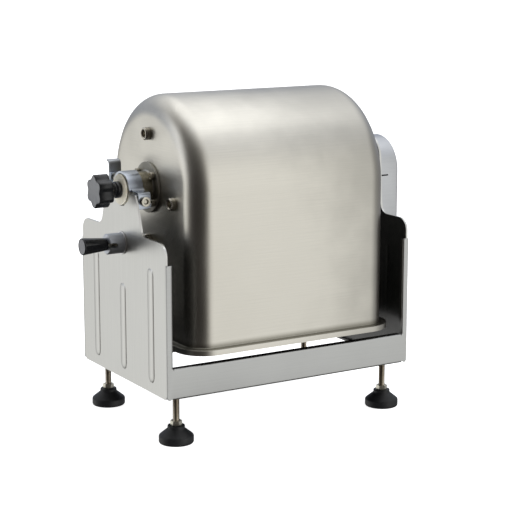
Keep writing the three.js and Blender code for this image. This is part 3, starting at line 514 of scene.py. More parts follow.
def side_plate(name, outer, inner, neck):
    """A side plate between two faces, with its neck's (y, z, rounding) points, lower lip and ribs."""
    low = foot_height
    form = bmesh.new()
    flat_outline(form, [
        (-plate_edge, low, 7), (plate_edge, low, 7), (plate_edge, shoulder_z, 18), *neck,
        (-plate_edge, shoulder_z, 18),
    ], lambda y, z: (outer, y, z))
    raise_faces(form, (inner - outer, 0, 0))
    inwards = 1 if inner > outer else -1
    lip_half = plate_edge - 50
    near, far = sorted((inner - 0.5 * inwards, inner + lip * inwards))
    block(form, (near, -lip_half, low), (far, lip_half, low + sheet))
    plate = made_solid(form, name)
    for y, top in ((-86, 172), (0, 135.5), (86, 172)):
        for face, how in ((outer, "DIFFERENCE"), (inner, "UNION")):
            rib = bmesh.new()
            punch(rib, face - inwards * punch_lift, y, low + 14, low + top + 5, punch_lift + rib_depth)
            joined(plate, rib, how)
    return plate


strap_outer_r = corners("left_strap")[1].z - axis_z
bearing_r = strap_outer_r - sheet - gap
left_plate = side_plate("left_side_sheet", left_low.x, left_low.x + sheet, [
    (66, shoulder_z, 12), (61, shoulder_z + 20, 12), (43.5, axis_z - 2.8, 1.5),
    (-43.5, axis_z - 2.8, 1.5), (-56.5, shoulder_z + 20, 14), (-62, shoulder_z, 13),
])
for hole_z, radius in ((axis_z, bearing_r + 0.8), (lock_z, 9 + gap)):
    bored(left_plate, radius, X, (left_low.x, 0, hole_z), -10, 10, 72)
finish_piece(left_plate, "stand", "stand_steel", plate_steel, ["left_side_plate"], edge=0.7, flat=True)
# Painted shade: the plate's inner faces take the dark inner finish.
second_finish(left_plate, shaded_inner_steel, lambda normal, middle: normal.x > 0.7)

right_outer = right_low.x + lip + sheet
right_plate = side_plate("right_side_sheet", right_outer, right_outer - sheet, [
    (69, shoulder_z, 14), (65, shoulder_z + 20, 10), (60, axis_z + 58, 34),
    (-60, axis_z + 58, 34), (-65, shoulder_z + 20, 10), (-69, shoulder_z, 14),
])
for hole_z, radius in ((axis_z, bearing_r + gap), (input_z, 8.4)):
    bored(right_plate, radius, X, (right_outer, 0, hole_z), -10, 10, 72)
pillars = bmesh.new()
pillar = right_high.x - right_outer + 0.5
for i in (1, 2, 3):
    turned(pillars, [(0, 0), (0, 4.5), (pillar, 4.5), (pillar, 2.3), (pillar - 9.5, 2.3), (pillar - 9.5, 0)],
           X, (right_outer - 0.5, *centre("cover_screw_%d" % i)[1:]), 32)
joined(right_plate, pillars, "UNION")
finish_piece(right_plate, "stand", "stand_steel", plate_steel, ["right_side_plate"], edge=0.7, flat=True)
# Painted shade: the plate's inner faces take the dark inner finish.
second_finish(right_plate, shaded_inner_steel, lambda normal, middle: normal.x < -0.7)

# ---------- front and rear frames ----------
# Each is one sheet, cut to a low beam with two thin posts and then folded: a short return round the window
# and a wide shelf under the beam that carries the feet.
# The frames are the same brushed sheet as the plates. Their darker tone is painted shade on the faces that look
# forwards.
beam_steel = satin_steel("brushed_stainless_sheet_level_painted_shade", "#BEBFBE", 0.33, "x", run=90.0, pitch=1.4, cloud=0.03)
frame_low, frame_high = corners("front_frame")
left, right = frame_low.x, frame_high.x
beam_top = foot_height + 43.4
post = 9.0
window_left, window_right = left + post, right - post
shelf_left, shelf_right = left + 8.3, right - 8.3
frame_sheet = 2.0


def set_in(form, edge, by):
    """Parts off both ends of an edge, so that a fold on it starts clear of the corners."""
    first, last = [v.co.copy() for v in edge.verts]
    along = (last - first).normalized()
    inner = verts_in(bmesh.ops.subdivide_edges(form, edges=[edge], cuts=2)["geom_inner"])
    inner.sort(key=lambda v: (v.co - first).dot(along))
    inner[0].co = first + along * by
    inner[-1].co = last - along * by
    return [e for e in form.edges if set(e.verts) == set(inner)]


def folded_frame(name, side, node_name):
    """A frame; side is -1 for the front one and 1 for the rear one."""
    face_y = side * abs(frame_low.y)
    form = bmesh.new()
    flat_outline(form, [
        (left, frame_low.z, 4), (shelf_left, frame_low.z, 0), (shelf_right, frame_low.z, 0),
        (right, frame_low.z, 4), (right, frame_high.z, 2), (window_right, frame_high.z, 0),
        (window_right, beam_top, 0), (window_left, beam_top, 0), (window_left, frame_high.z, 0),
        (left, frame_high.z, 2),
    ], lambda x, z: (x, face_y, z))
    folds = []
    for on_line, depth, clear in (
        (lambda c: abs(c.z - beam_top) < 0.01, 11.0, 1.2),
        (lambda c: abs(c.x - window_left) < 0.01 and c.z > beam_top - 0.01, 8.0, 1.2),
        (lambda c: abs(c.x - window_right) < 0.01 and c.z > beam_top - 0.01, 8.0, 1.2),
        (lambda c: abs(c.z - frame_low.z) < 0.01 and shelf_left - 0.01 < c.x < shelf_right + 0.01, 42.0, 0.0),
    ):
        edges = [e for e in rim_in(form.edges) if all(on_line(v.co) for v in e.verts)]
        if clear:
            edges = set_in(form, edges[0], clear)
        folds += edges
        bmesh.ops.translate(form, verts=grow(form, edges)[0], vec=(0, -side * depth, 0))
    rounded(form, folds, 2.2, 4, "EDGES")
    piece = made_sheet(form, name, frame_sheet, lambda f: f.calc_area(), (0, side, 0))
    for stud in ("foot_stud_front_left", "foot_stud_front_right"):
        x, y, z = centre(stud)
        bored(piece, 5.1, Z, (x, side * abs(y), foot_height), -4, 6, 40)
    finish_piece(piece, "stand", "stand_steel", beam_steel, [node_name], edge=0.9)
    # Painted shade: the faces turned inwards, the returns round the window and the shelf take the dark inner
    # finish.
    behind = abs(face_y) - frame_sheet - gap
    second_finish(piece, shaded_inner_steel, lambda normal, middle: normal.y * side < -0.9 or abs(middle.y) < behind)


folded_frame("front_folded_frame", -1, "front_frame")
folded_frame("rear_folded_frame", 1, "rear_frame")

# ---------- tank ----------
# A deep-drawn U-shaped shell of 2 mm stainless steel, turned mouth down. Its rim is rolled out into a ledge
# with a short lip. It is brushed along its length and across its ends, and handling has left it faintly
# clouded.
tank_low, tank_high = corners("tank_shell")
tank_x = (tank_low.x + tank_high.x) / 2
rim_top = tank_low.z + 8.0
# The tank's finish carries painted light: a broad painted highlight towards the middle of the front, darker away
# from it, and a thin band of painted shade on the wall just above the rim's ledge.
tank_steel = satin_steel(
    "satin_stainless_tank_painted_light", "#DDDAD1", 0.37, "x", run=70.0, pitch=1.1, cloud=0.07, ends="y",
    painted_highlight=((tank_x - 60, 0, axis_z - 60), (300, 500, 330)), painted_seam_shade=rim_top,
)
paddle_steel = satin_steel("satin_stainless_paddle", "#CFCDC6", 0.34, "x", run=40.0, pitch=1.0)
tank_r = tank_high.z - axis_z
ledge = tank_high.y - tank_r
half_length = (tank_high.x - tank_low.x) / 2 - ledge
fillet = 32.0

shell = bmesh.new()
angles = [math.radians(degrees) for degrees in range(0, 91, 9)]
half_profile = [(-half_length, 0.0)] + [
    (-half_length + fillet - fillet * math.cos(a), tank_r - fillet + fillet * math.sin(a)) for a in angles
]
half_profile += [(-along, radius) for along, radius in reversed(half_profile)]
turned(shell, half_profile, X, (tank_x, 0, axis_z), 60, turn=-180.0, start=(0, -1, 0))
wall_foot = rim_in(shell.edges)


def rim_place(vertex, out, z):
    """Where a vertex of the rim goes when it is moved out square to the wall and to a height."""
    reach_x, reach_y = half_length - fillet, tank_r - fillet
    x, y = vertex.co.x - tank_x, vertex.co.y
    near = Vector((max(-reach_x, min(reach_x, x)), max(-reach_y, min(reach_y, y)), 0))
    away = (Vector((x, y, 0)) - near).normalized()
    return Vector((x + tank_x, y, z)) + away * out


settled_out = 0.0
for out, z in (
    (0, rim_top + 12), (0, rim_top + 1.4), (0.15, rim_top + 0.7), (0.6, rim_top + 0.2), (1.4, rim_top),
    (ledge - 1.4, rim_top), (ledge - 0.6, rim_top - 0.25), (ledge - 0.12, rim_top - 0.8), (ledge, rim_top - 1.6),
    (ledge, tank_low.z),
):
    made, wall_foot = grow(shell, wall_foot)
    for vertex in made:
        vertex.co = rim_place(vertex, out - settled_out, z)
    settled_out = out
tank = made_sheet(shell, "tank_drawn_shell", 2.0, lambda f: f.calc_center_median().z, Z)
bored(tank, 15, X, (tank_x, 0, axis_z), -half_length - 6, half_length + 6)
finish_piece(tank, "tank", "satin_steel", tank_steel, ["tank_shell"], edge=0.3, sharp=40.0)

# ---------- turned steel fittings of the tank ----------
# Flanged trunnions, their socket-head bolts and the three indexing bosses are turned from stainless bar and
# left bright; the lathe leaves fine rings about each piece's own axis.


def bright_steel(name, colour, roughness, pitch=0.8, spread=0.06, relief_depth=0.08, gloss_spread=0.05):
    """Turned or plated bright steel, with fine marks pitch mm apart and slight tarnish."""
    material, tree, place = new_finish(name)
    rings = noise(tree, place, (1000 / pitch, 200, 200))
    tarnish = noise(tree, place, 90.0, 4.0, 0.6)
    tint = mixed(tree, tarnish, toned(colour, -2 * spread), toned(colour, spread))
    rough = remap(tree, rings, 0.3, 0.7, roughness - gloss_spread, roughness + gloss_spread)
    return surfaced(material, rings, relief_depth, 0.0002, Base_Color=tint, Metallic=1.0, Roughness=rough)


turned_steel = bright_steel("turned_stainless_bar", "#CFCABD", 0.20)
trunnion_steel = bright_steel("turned_stainless_bar_warm", "#A8A290", 0.30)
flange_steel = bright_steel("turned_stainless_flange", "#B5B3AA", 0.42)
on_tank = ("tank", "bright_steel", turned_steel)
on_stand = ("stand", "bright_steel", turned_steel)

lt_low, lt_high = corners("left_trunnion")
rt_low, rt_high = corners("right_trunnion")
rb_low, rb_high = corners("right_bearing")
strap_low, strap_high = corners("left_strap")
flange_r = (lt_high.z - lt_low.z) / 2
flange = 4.0
hub_r = 23.0
bar_bore = 11.0 + gap  # the paddle bar runs in it
stud_bore = 8.0 + gap  # the star knob's stud runs in it
clamp_in = strap_high.x
journal_r = bearing_r - 5.8
face, step = lt_high.x, clamp_in + 2
left_trunnion = turned_piece("left_trunnion_turned", tube(bar_bore, [
    (face, flange_r), (face - flange, flange_r), (face - flange, hub_r + 2), (face - 5.5, hub_r), (step, hub_r),
    (step, journal_r), (lt_low.x, journal_r), (lt_low.x, stud_bore), (step, stud_bore),
]), on_axis, ("tank", "bright_steel", trunnion_steel), ["left_trunnion"], 72, edge=0.5)
second_finish(left_trunnion, flange_steel, lambda normal, middle: middle.x > lt_high.x - 5)
face, step = rt_low.x, rb_low.x - 1
turned_piece("right_trunnion_turned", tube(bar_bore, [
    (face, flange_r), (face + flange, flange_r), (face + flange, hub_r + 2), (face + 5.5, hub_r), (step, hub_r),
    (step, journal_r), (rt_high.x, journal_r),
]), on_axis, on_tank, ["right_trunnion"], 72, edge=0.5)


def socket_bolt(name, ends, y, z, radii, finish, nodes=(), edge=0.5, lay=None):
    """A socket-head screw along X. ends are its head, seat and tip, radii its head, shank and socket."""
    head_x, seat_x, end_x = ends
    head_r, shank_r, socket_r = radii
    form = bmesh.new()
    turned(form, [
        (head_x, socket_r * 1.12), (head_x, head_r), (seat_x, head_r), (seat_x, shank_r), (end_x, shank_r),
        (end_x, 0),
    ], X, (0, y, z), 24)
    deep = head_x + (seat_x - head_x) * 0.6
    made, rim = grow(form, rim_in(form.edges))
    for v in made:
        angle = math.atan2(v.co.z - z, v.co.y - y)
        around = (angle + math.pi / 6) % (math.pi / 3) - math.pi / 6
        reach = socket_r * math.cos(math.pi / 6) / math.cos(around)
        v.co = Vector((deep, y + reach * math.cos(angle), z + reach * math.sin(angle)))
    bmesh.ops.contextual_create(form, geom=rim)
    if lay:
        bmesh.ops.transform(form, verts=form.verts, matrix=lay)
    finish_piece(made_solid(form, name), *finish, nodes, edge)


for i in (1, 2, 3, 4):
    bolt = "trunnion_bolt_%d" % i
    low, high = corners(bolt)
    x, y, z = centre(bolt)
    seat = rt_low.x + flange
    radii = ((high.y - low.y) / 2, 2.5, 2.9)
    socket_bolt("left_flange_bolt_%d" % i, (low.x, low.x + 5.5, high.x), y, z, radii, on_tank, [bolt])
    socket_bolt("right_flange_bolt_%d" % i, (seat + 4.0, seat, seat - 6), y, z, radii, on_tank, edge=0.4)

for name in ("upside_down", "pouring", "upright"):
    low, high = corners("index_boss_" + name)
    radius = (high.z - low.z) / 2
    turned_piece("turned_boss_" + name, [
        (high.x, 5.3), (high.x, radius), (low.x + 1.2, radius), (low.x, radius - 1.2), (low.x, 6.6),
        (low.x + 1.3, 5.3), (high.x, 5.3),
    ], (0, *centre("index_boss_" + name)[1:]), on_tank, ["index_boss_" + name], 48, edge=0.25)

# ---------- clamp on the left neck ----------
# A half-round strap of bright plated steel is screwed down over the nylon bush at its front tab and its
# rear ear. Under it a belled saddle sits in the plate's fork, and behind it a horn stands up with its end
# curled back.
plated_steel = bright_steel("bright_zinc_plated_sheet", "#BDC4CF", 0.25, pitch=6.0, spread=0.012,
                            relief_depth=0.01, gloss_spread=0.015)
horn_steel = bright_steel("dull_zinc_plated_sheet", "#A4A7AA", 0.34, pitch=6.0, spread=0.03,
                          relief_depth=0.02, gloss_spread=0.03)
clamp_x0, clamp_x1 = strap_low.x, strap_high.x
behind_plate = clamp_x0 + sheet + gap
band_sheet = 3.0
band_r = strap_outer_r - band_sheet / 2


def arc(y, z, radius, start, end, steps):
    """Points of a bend about (y, z), from one angle to another in degrees."""
    angles = [math.radians(start + (end - start) * i / steps) for i in range(steps + 1)]
    return [(y + radius * math.cos(a), z + radius * math.sin(a)) for a in angles]


def bent_strip(name, line, x0, x1, thickness, round_end=0.0):
    """Sheet bent along a line of (y, z) points and x0 to x1 wide."""
    form = bmesh.new()
    made = [form.verts.new((x0, y, z)) for y, z in line]
    chain = [form.edges.new(pair) for pair in zip(made, made[1:])]
    bmesh.ops.translate(form, verts=grow(form, chain)[0], vec=(x1 - x0, 0, 0))
    if round_end:
        for x in (x0, x1):
            last = Vector((x, *line[-1]))
            rounded(form, [min(form.verts, key=lambda v: (v.co - last).length)], round_end, 5)
    return thickened(made_solid(form, name), thickness, 0.0)


ear_z = axis_z + 0.5 - band_sheet / 2
bend_r = 8 + band_sheet / 2
bend_y = math.sqrt((band_r + bend_r) ** 2 - (ear_z + bend_r - axis_z) ** 2)
lean = math.degrees(math.atan2(ear_z + bend_r - axis_z, bend_y))
tab_y = abs(strap_low.y) - band_sheet / 2
ear_y = abs(strap_low.y) - 1.5 * band_sheet - 1.25
strap_line = (
    [(-tab_y, strap_low.z)] + arc(-tab_y + 3, ear_z - 3, 3, 180, 90, 5)
    + arc(-bend_y, ear_z + bend_r, bend_r, -90, -lean, 14) + arc(0, axis_z, band_r, 180 - lean, lean, 48)[1:]
    + arc(bend_y, ear_z + bend_r, bend_r, 180 + lean, 270, 14)[1:] + arc(ear_y - 3, ear_z + 3, 3, -90, 0, 5)
    + [(ear_y, axis_z + 19)]
)
strap = bent_strip("clamp_strap", strap_line, clamp_x0, clamp_x1, band_sheet)
for y0, y1 in ((strap_low.y - 2, -strap_outer_r - 1), (strap_outer_r + 1, strap_high.y + 2)):
    milled(strap, (clamp_x0 - 2, y0, axis_z - 40), (behind_plate, y1, axis_z + 40))
finish_piece(strap, "stand", "bright_steel", plated_steel, ["left_strap"], edge=0.5)

saddle_high = corners("left_saddle")[1]
form = bmesh.new()
turned(form, [
    (behind_plate, strap_outer_r + 0.8), (behind_plate + 1, strap_outer_r), (clamp_x1, strap_outer_r),
], X, on_axis, 48, turn=180.0, start=(0, -1, 0))
bmesh.ops.bisect_plane(form, geom=form.verts[:] + form.edges[:] + form.faces[:], dist=1e-4,
                       plane_co=(0, 0, saddle_high.z), plane_no=Z, clear_outer=True)
down = (0, 0, -1)
saddle = made_sheet(form, "belled_saddle", band_sheet, lambda f: -f.calc_center_median().z, down, even=False)
finish_piece(saddle, "stand", "bright_steel", plated_steel, ["left_saddle"], edge=0.5)

horn_low, horn_high = corners("rear_horn")
horn_sheet = 2.5
horn_y = horn_low.y + horn_sheet / 2
horn_line = [(horn_y, horn_low.z), (horn_y, axis_z + 10)] + arc(horn_y + 6, horn_high.z - 7.25, 6, 180, 70, 9)
finish_piece(bent_strip("clamp_horn", horn_line, horn_low.x, horn_high.x, horn_sheet, round_end=3.0), "stand",
             "bright_steel", horn_steel, ["rear_horn"], edge=0.5)

bracket_low, bracket_high = corners("strap_bracket")
form = bmesh.new()
flat_outline(form, [
    (bracket_low.x, bracket_low.z, 2.5), (bracket_high.x, bracket_low.z, 2.5),
    (bracket_high.x, bracket_high.z, 0.8), (bracket_low.x, bracket_high.z, 0.8),
], lambda x, z: (x, bracket_low.y, z))
raise_faces(form, (0, bracket_high.y - bracket_low.y, 0))
finish_piece(made_solid(form, "clamp_front_bracket"), "stand", "bright_steel", plated_steel, ["strap_bracket"])

for end in ("front", "rear"):
    low, high = corners("strap_screw_" + end)
    x, y, z = centre("strap_screw_" + end)
    head = 5.0
    lay = Matrix.Translation((x, low.y + head, z)) @ Matrix.Rotation(math.pi / 2, 4, "Z")
    radii = ((high.z - low.z) / 2, 2.5, 3.1)
    socket_bolt("clamp_screw_" + end, (-head, 0.0, high.y - low.y - head), 0, 0, radii, on_stand,
                ["strap_screw_" + end], edge=0.6, lay=lay)

# ---------- nylon bush and washer ----------
# Turned from natural nylon bar: creamy, waxy and slightly see-through, with faint tool rings.
nylon, tree, place = new_finish("turned_natural_nylon")
cream = ramp(tree, noise(tree, place, 120.0, 3.0), [(0.3, "#D9D3BE"), (0.7, "#ECE7D6")])
surfaced(nylon, noise(tree, place, (900, 60, 60)), 0.1, 0.0002, Base_Color=cream, Roughness=0.42, IOR=1.53,
         Subsurface_Weight=0.15, Subsurface_Radius=(0.8, 0.7, 0.5), Subsurface_Scale=0.002)

bush_high = corners("left_bush")[1]
bush_face = corners("left_bush")[0].x + sheet + gap  # its outer end sits just behind the plate
turned_piece("nylon_bush", tube(journal_r + gap, [(bush_face, bearing_r), (bush_high.x, bearing_r)]),
             on_axis, ("stand", "nylon", nylon), ["left_bush"], edge=0.5)
washer_low, washer_high = corners("knob_washer")
turned_piece("nylon_washer", tube(stud_bore, [(washer_low.x, 21.5), (washer_high.x, 21.5)]),
             on_axis, ("knob", "nylon", nylon), ["knob_washer"], edge=0.6)

# ---------- star knob ----------
# Moulded black plastic with six lobes on a round stem, and a steel stud is moulded into the stem. Its flat
# end face is painted grey, which is painted light for the light that falls on that face.


def moulded(name, colour, roughness, grain_mm, depth, spread=0.12):
    """Moulded plastic or rubber with a fine spark-eroded grain and uneven gloss."""
    material, tree, place = new_finish(name)
    grain = noise(tree, place, 1000 / grain_mm, 3.0, 0.65)
    patches = noise(tree, place, 60.0, 4.0)
    tint = mixed(tree, patches, toned(colour, -spread), toned(colour, spread))
    rough = remap(tree, patches, 0.3, 0.7, roughness - 0.06, roughness + 0.06)
    return surfaced(material, grain, 0.25, depth / 1000, Base_Color=tint, Roughness=rough, IOR=1.5)


knob_plastic = moulded("moulded_black_nylon", "#131416", 0.25, 0.9, 0.04)
# Black plastic painted grey: painted light for the light falling on a flat end face.
painted_light_face_plastic = moulded("grey_face_painted_light", "#77787A", 0.55, 0.7, 0.05, spread=0.05)

knob_x, knob_length = span("star_knob")
head = 22.0  # the lobed part of the length
lobe_depth = 4.4
lobe_count = 6
knob = bmesh.new()
turned(knob, [
    (0.2, 0), (0.2, 20.9), (0, 21.4), (0.15, 22.4), (1.3, 23.5), (head - 1.6, 23.5), (head - 0.5, 23.1),
    (head, 22.0), (head, 12.5),
], X, (knob_x, 0, axis_z), 144)
for v in knob.verts:
    out = Vector((v.co.y, v.co.z - axis_z))
    if out.length > 1e-3:
        wave = 0.5 + 0.5 * math.cos(lobe_count * math.atan2(out.y, out.x))
        out *= 1 - lobe_depth * wave / out.length * min(1.0, out.length / 20)
        v.co.y, v.co.z = out.x, out.y + axis_z
rim = rim_in(knob.edges)
for along, radius in (
    (head, 11.0), (head + 1.2, 9.9), (knob_length - 7.5, 9.9), (knob_length - 7.0, 11.2),
    (knob_length - 6.4, 11.7), (knob_length - 0.6, 11.7), (knob_length, 11.1), (knob_length, stud_bore),
    (knob_length - 10, stud_bore),
):
    made, rim = grow(knob, rim)
    for v in made:
        out = Vector((0, v.co.y, v.co.z - axis_z)).normalized() * radius
        v.co = Vector((knob_x + along, out.y, out.z + axis_z))
bmesh.ops.contextual_create(knob, geom=rim)
knob_piece = made_solid(knob, "star_knob_moulding")
finish_piece(knob_piece, "knob", "black_plastic", knob_plastic, ["star_knob"], edge=0, sharp=50.0)
# Painted light: the knob's flat end face is grey.
second_finish(knob_piece, painted_light_face_plastic, lambda normal, middle: normal.x < -0.98 and middle.x < knob_x + 0.6)

stud_low, stud_high = corners("knob_stud")
turned_piece("knob_stud_turned", [
    (stud_low.x, 0), (stud_low.x, 8), (clamp_in, 8), (clamp_in, 6), (stud_high.x, 6), (stud_high.x, 0),
], on_axis, ("knob", "bright_steel", turned_steel), ["knob_stud"], 48)

# ---------- locking plunger ----------
# A sprung pin in a grey barrel on the left plate. Its cross pin rests in the barrel's open slot, and its
# black grip is fluted and tapers towards the barrel. A guide sleeve inside the plate carries the pin to the
# bosses.
barrel_steel = bright_steel("bead_blasted_steel", "#D0D4DB", 0.48, pitch=0.9, spread=0.03)
on_lock_body = ("lock", "bright_steel", turned_steel)
pin_r = 5.0
pin_bore = pin_r + gap
spring_bore = 9.0
slot_half = 3.25
barrel_x, barrel_length = span("lock_barrel")
form = bmesh.new()
turned(form, tube(pin_bore, [
    (0, 13.3), (1.2, 14.5), (barrel_length, 14.5), (barrel_length, spring_bore), (15, spring_bore),
]), X, (barrel_x, 0, lock_z))
barrel = made_solid(form, "plunger_barrel")
slot_end = barrel_x + 8.75
milled(barrel, (barrel_x - 2, -20, lock_z - slot_half), (slot_end, 20, lock_z + slot_half))
bored(barrel, slot_half, Y, (slot_end, 0, lock_z), -20, 20, 32)
finish_piece(barrel, "stand", "gear_steel", barrel_steel, ["lock_barrel"])

ring_steel = bright_steel("polished_steel_ring", "#FBFBFA", 0.42, spread=0.01)
ring_x, ring_length = span("lock_ring")
turned_piece("plunger_base_ring", tube(14.8, [(0, 16.0), (0.4, 16.3), (ring_length, 16.3)]),
             (ring_x, 0, lock_z), ("stand", "bright_steel", ring_steel), ["lock_ring"], edge=0.2)

guide_x, guide_length = span("lock_guide")
turned_piece("plunger_guide_sleeve", tube(spring_bore, [
    (0, 12), (guide_length - 1, 12), (guide_length, 11), (guide_length, pin_bore), (guide_length - 3, pin_bore),
]), (guide_x, 0, lock_z), ("stand", "gear_steel", barrel_steel), ["lock_guide"], edge=0.3)

pin_x, pin_length = span("lock_pin")
collar = guide_x + guide_length - 3 - gap - pin_x
turned_piece("plunger_pin", [
    (0, 0), (0, pin_r), (collar - 2, pin_r), (collar - 2, 8.7), (collar, 8.7), (collar, pin_r),
    (pin_length - 1.5, pin_r), (pin_length - 0.4, 4.2), (pin_length, 3.0), (pin_length, 0),
], (pin_x, 0, lock_z), on_lock_body, ["lock_pin"], 48, edge=0.3)

cross_low, cross_high = corners("lock_cross_pin")
turned_piece("plunger_cross_pin", [
    (cross_low.y, 0), (cross_low.y, 1.3), (cross_low.y + 0.7, 2), (cross_high.y - 0.7, 2), (cross_high.y, 1.3),
    (cross_high.y, 0),
], (centre("lock_cross_pin")[0], 0, lock_z), on_lock_body, ["lock_cross_pin"], 32, axis=Y, edge=0)

# The spring is wound from 1.4 mm wire. It is trapped between the barrel and the pin's collar, which closes
# it up.
spring_low, spring_high = corners("lock_spring")
spring_length = spring_high.x - spring_low.x
wire_r = 0.7
coils = 7
steps_round = 24
form = bmesh.new()
ring = bmesh.ops.create_circle(form, cap_ends=False, segments=10, radius=wire_r)["verts"]
bmesh.ops.translate(form, verts=ring, vec=(spring_low.x + wire_r, spring_high.y - wire_r, lock_z))
steps = steps_round * coils
bmesh.ops.spin(
    form, geom=form.verts[:] + form.edges[:], cent=(0, 0, lock_z), axis=X, angle=2 * math.pi * coils,
    steps=steps, use_merge=False, dvec=((spring_length - 2 * wire_r) / steps, 0, 0),
)
bmesh.ops.holes_fill(form, edges=rim_in(form.edges), sides=0)
spring = made_solid(form, "plunger_spring")
finish_piece(spring, *on_lock_body, ["lock_spring"], edge=0, sharp=60.0)
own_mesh(spring)

grip_x, grip_length = span("lock_grip")
flute_depth = 0.55
flute_count = 10


def fluted(form):
    """Cuts the grip's flutes between its rounded ends, and the blind hole for the pin."""
    for v in form.verts:
        if 2 < v.co.x - grip_x < grip_length - 2:
            out = Vector((v.co.y, v.co.z - lock_z))
            wave = 0.5 + 0.5 * math.cos(flute_count * math.atan2(out.y, out.x))
            out *= 1 - flute_depth * wave ** 2 / out.length
            v.co.y, v.co.z = out.x, out.y + lock_z
    sunk(form, -12.3)


grip = turned_piece("plunger_grip", [
    (0.5, 0), (0.5, 10.6), (0, 11.0), (0.4, 11.7), (1.4, 12.0), (3.0, 11.9), (grip_length - 4, 9.15),
    (grip_length - 1, 8.8), (grip_length, 8.2), (grip_length, pin_bore),
], (grip_x, 0, lock_z), ("lock", "black_plastic", knob_plastic), ["lock_grip"], 120, edge=0, sharp=50.0,
    shape=fluted)
# Painted light: the grip's flat end face is grey.
second_finish(grip, painted_light_face_plastic, lambda normal, middle: normal.x < -0.9 and middle.x < grip_x + 0.6)

# ---------- paddles and their drive ----------
# Four T-shaped stainless paddles are welded to hubs on a bright bar and turned by a pair of cut gears. The
# pinion's shaft comes out through a bronze bush with two flats for the drive.
bar_x, bar_length = span("paddle_shaft")
bar_r = 11.0
turned_piece("paddle_bar", tube(6.3, [(0, bar_r), (bar_length, bar_r), (bar_length, 0), (12, 0)]),
             (bar_x, 0, axis_z), ("paddles", "bright_steel", turned_steel), ["paddle_shaft"], edge=0.5)

arm_half, paddle_half_sheet = 8.0, 2.5
for i in range(4):
    node_name = "paddle_%d" % (i + 1)
    form = bmesh.new()
    turned(form, tube(bar_bore, [(-9, 17), (9, 17)]), X, (0, 0, 0), 48)
    paddle = made_solid(form, "paddle_arm_%d" % (i + 1))
    arm = bmesh.new()
    block(arm, (-arm_half, -paddle_half_sheet, 14), (arm_half, paddle_half_sheet, 114))
    joined(paddle, arm, "UNION")
    blade = bmesh.new()
    flat_outline(blade, [(-33, 92, 5), (33, 92, 5), (33, 118, 5), (-33, 118, 5)],
                 lambda x, z: (x, -paddle_half_sheet, z))
    raise_faces(blade, (0, 2 * paddle_half_sheet, 0))
    bmesh.ops.rotate(blade, verts=blade.verts, cent=(0, 0, 0),
                     matrix=Matrix.Rotation(math.radians(20 if i % 2 else -20), 3, "Z"))
    joined(paddle, blade, "UNION")
    for x in (-0.98 * arm_half, 0.98 * arm_half):
        bead = bmesh.new()
        turned(bead, [(-1.6, 0), (-1.3, 1.2), (0, 1.7), (8, 1.7), (9.3, 1.2), (9.6, 0)], Y, (x, -4, 17), 12)
        joined(paddle, bead, "UNION")
    onto_bar = Matrix.Translation((centre(node_name)[0] / 1000, 0, axis_z / 1000))
    paddle.data.transform(onto_bar @ Matrix.Rotation(i * math.pi / 2, 4, "X"))
    finish_piece(paddle, "paddles", "satin_steel", paddle_steel, [node_name], edge=0.5)

gear_metal = bright_steel("hobbed_gear_steel", "#8F9093", 0.36)
for name, metal in (("paddle_gear", gear_metal), ("gear_circlip", turned_steel), ("input_pinion", gear_metal)):
    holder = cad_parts[name]
    holder.data.materials.clear()
    holder.data.materials.append(metal)

shaft_x, shaft_length = span("input_shaft")
shaft_end = shaft_x + shaft_length
flats_half = 6.0
form = bmesh.new()
turned(form, [(0, 0), (0, 7.4), (0.6, 8), (shaft_length - 1, 8), (shaft_length, 7), (shaft_length, 0)],
       X, (shaft_x, 0, input_z), 48)
shaft = made_solid(form, "drive_shaft")
for y0, y1 in ((-12, -flats_half), (flats_half, 12)):
    milled(shaft, (shaft_end - 12, y0, input_z - 12), (shaft_end + 2, y1, input_z + 12))
finish_piece(shaft, "input", "bright_steel", turned_steel, ["input_shaft"], edge=0.3)

collar_end = right_outer - sheet - gap
collar_start, collar_r = collar_end - 5, 38.0
turned_piece("nylon_bearing", tube(journal_r + gap, [
    (rb_low.x, bearing_r), (collar_start, bearing_r), (collar_start, collar_r), (collar_end, collar_r),
    (collar_end, bearing_r), (rb_high.x, bearing_r),
]), on_axis, ("stand", "nylon", nylon), ["right_bearing"], 72, edge=0.6)

# ---------- gear cover ----------
# Pressed from 2.5 mm stainless sheet with a round top, held by three round-headed screws. A small slot in
# its front wall lets the gears be greased.
cover_steel = satin_steel("satin_stainless_cover", "#C6C8CB", 0.33, "x", run=60.0, pitch=2.0, cloud=0.02)
cover_low, cover_high = corners("gear_cover")
cover_half = (cover_high.y - cover_low.y) / 2
form = bmesh.new()
outline = arc(0, axis_z, cover_half, 0, 180, 45) + [(-cover_half, cover_low.z), (cover_half, cover_low.z)]
made = [form.verts.new((cover_low.x, y, z)) for y, z in outline]
form.faces.new(made)
for corner in made[-2:]:
    rounded(form, [corner], 14, 8)
raise_faces(form, (cover_high.x - cover_low.x, 0, 0))
bmesh.ops.recalc_face_normals(form, faces=form.faces)
back = min((f for f in form.faces if abs(f.normal.x) > 0.9), key=lambda f: f.calc_center_median().x)
bmesh.ops.delete(form, geom=[back], context="FACES_ONLY")
front_edges = [e for e in form.edges if all(abs(v.co.x - cover_high.x) < 0.01 for v in e.verts)]
rounded(form, front_edges, 3.2, 5, "EDGES")
cover = made_sheet(form, "gear_cover_pressing", 2.5, lambda f: f.calc_center_median().x, X)
slot_x = cover_low.x + 8.7
milled(cover, (slot_x, -cover_half - 2, axis_z - 6), (slot_x + 12, -cover_half + 5, axis_z - 4))
bored(cover, 11.6, X, (cover_high.x, 0, input_z), -8, 8)
finish_piece(cover, "stand", "stand_steel", cover_steel, ["gear_cover"], edge=0.3)

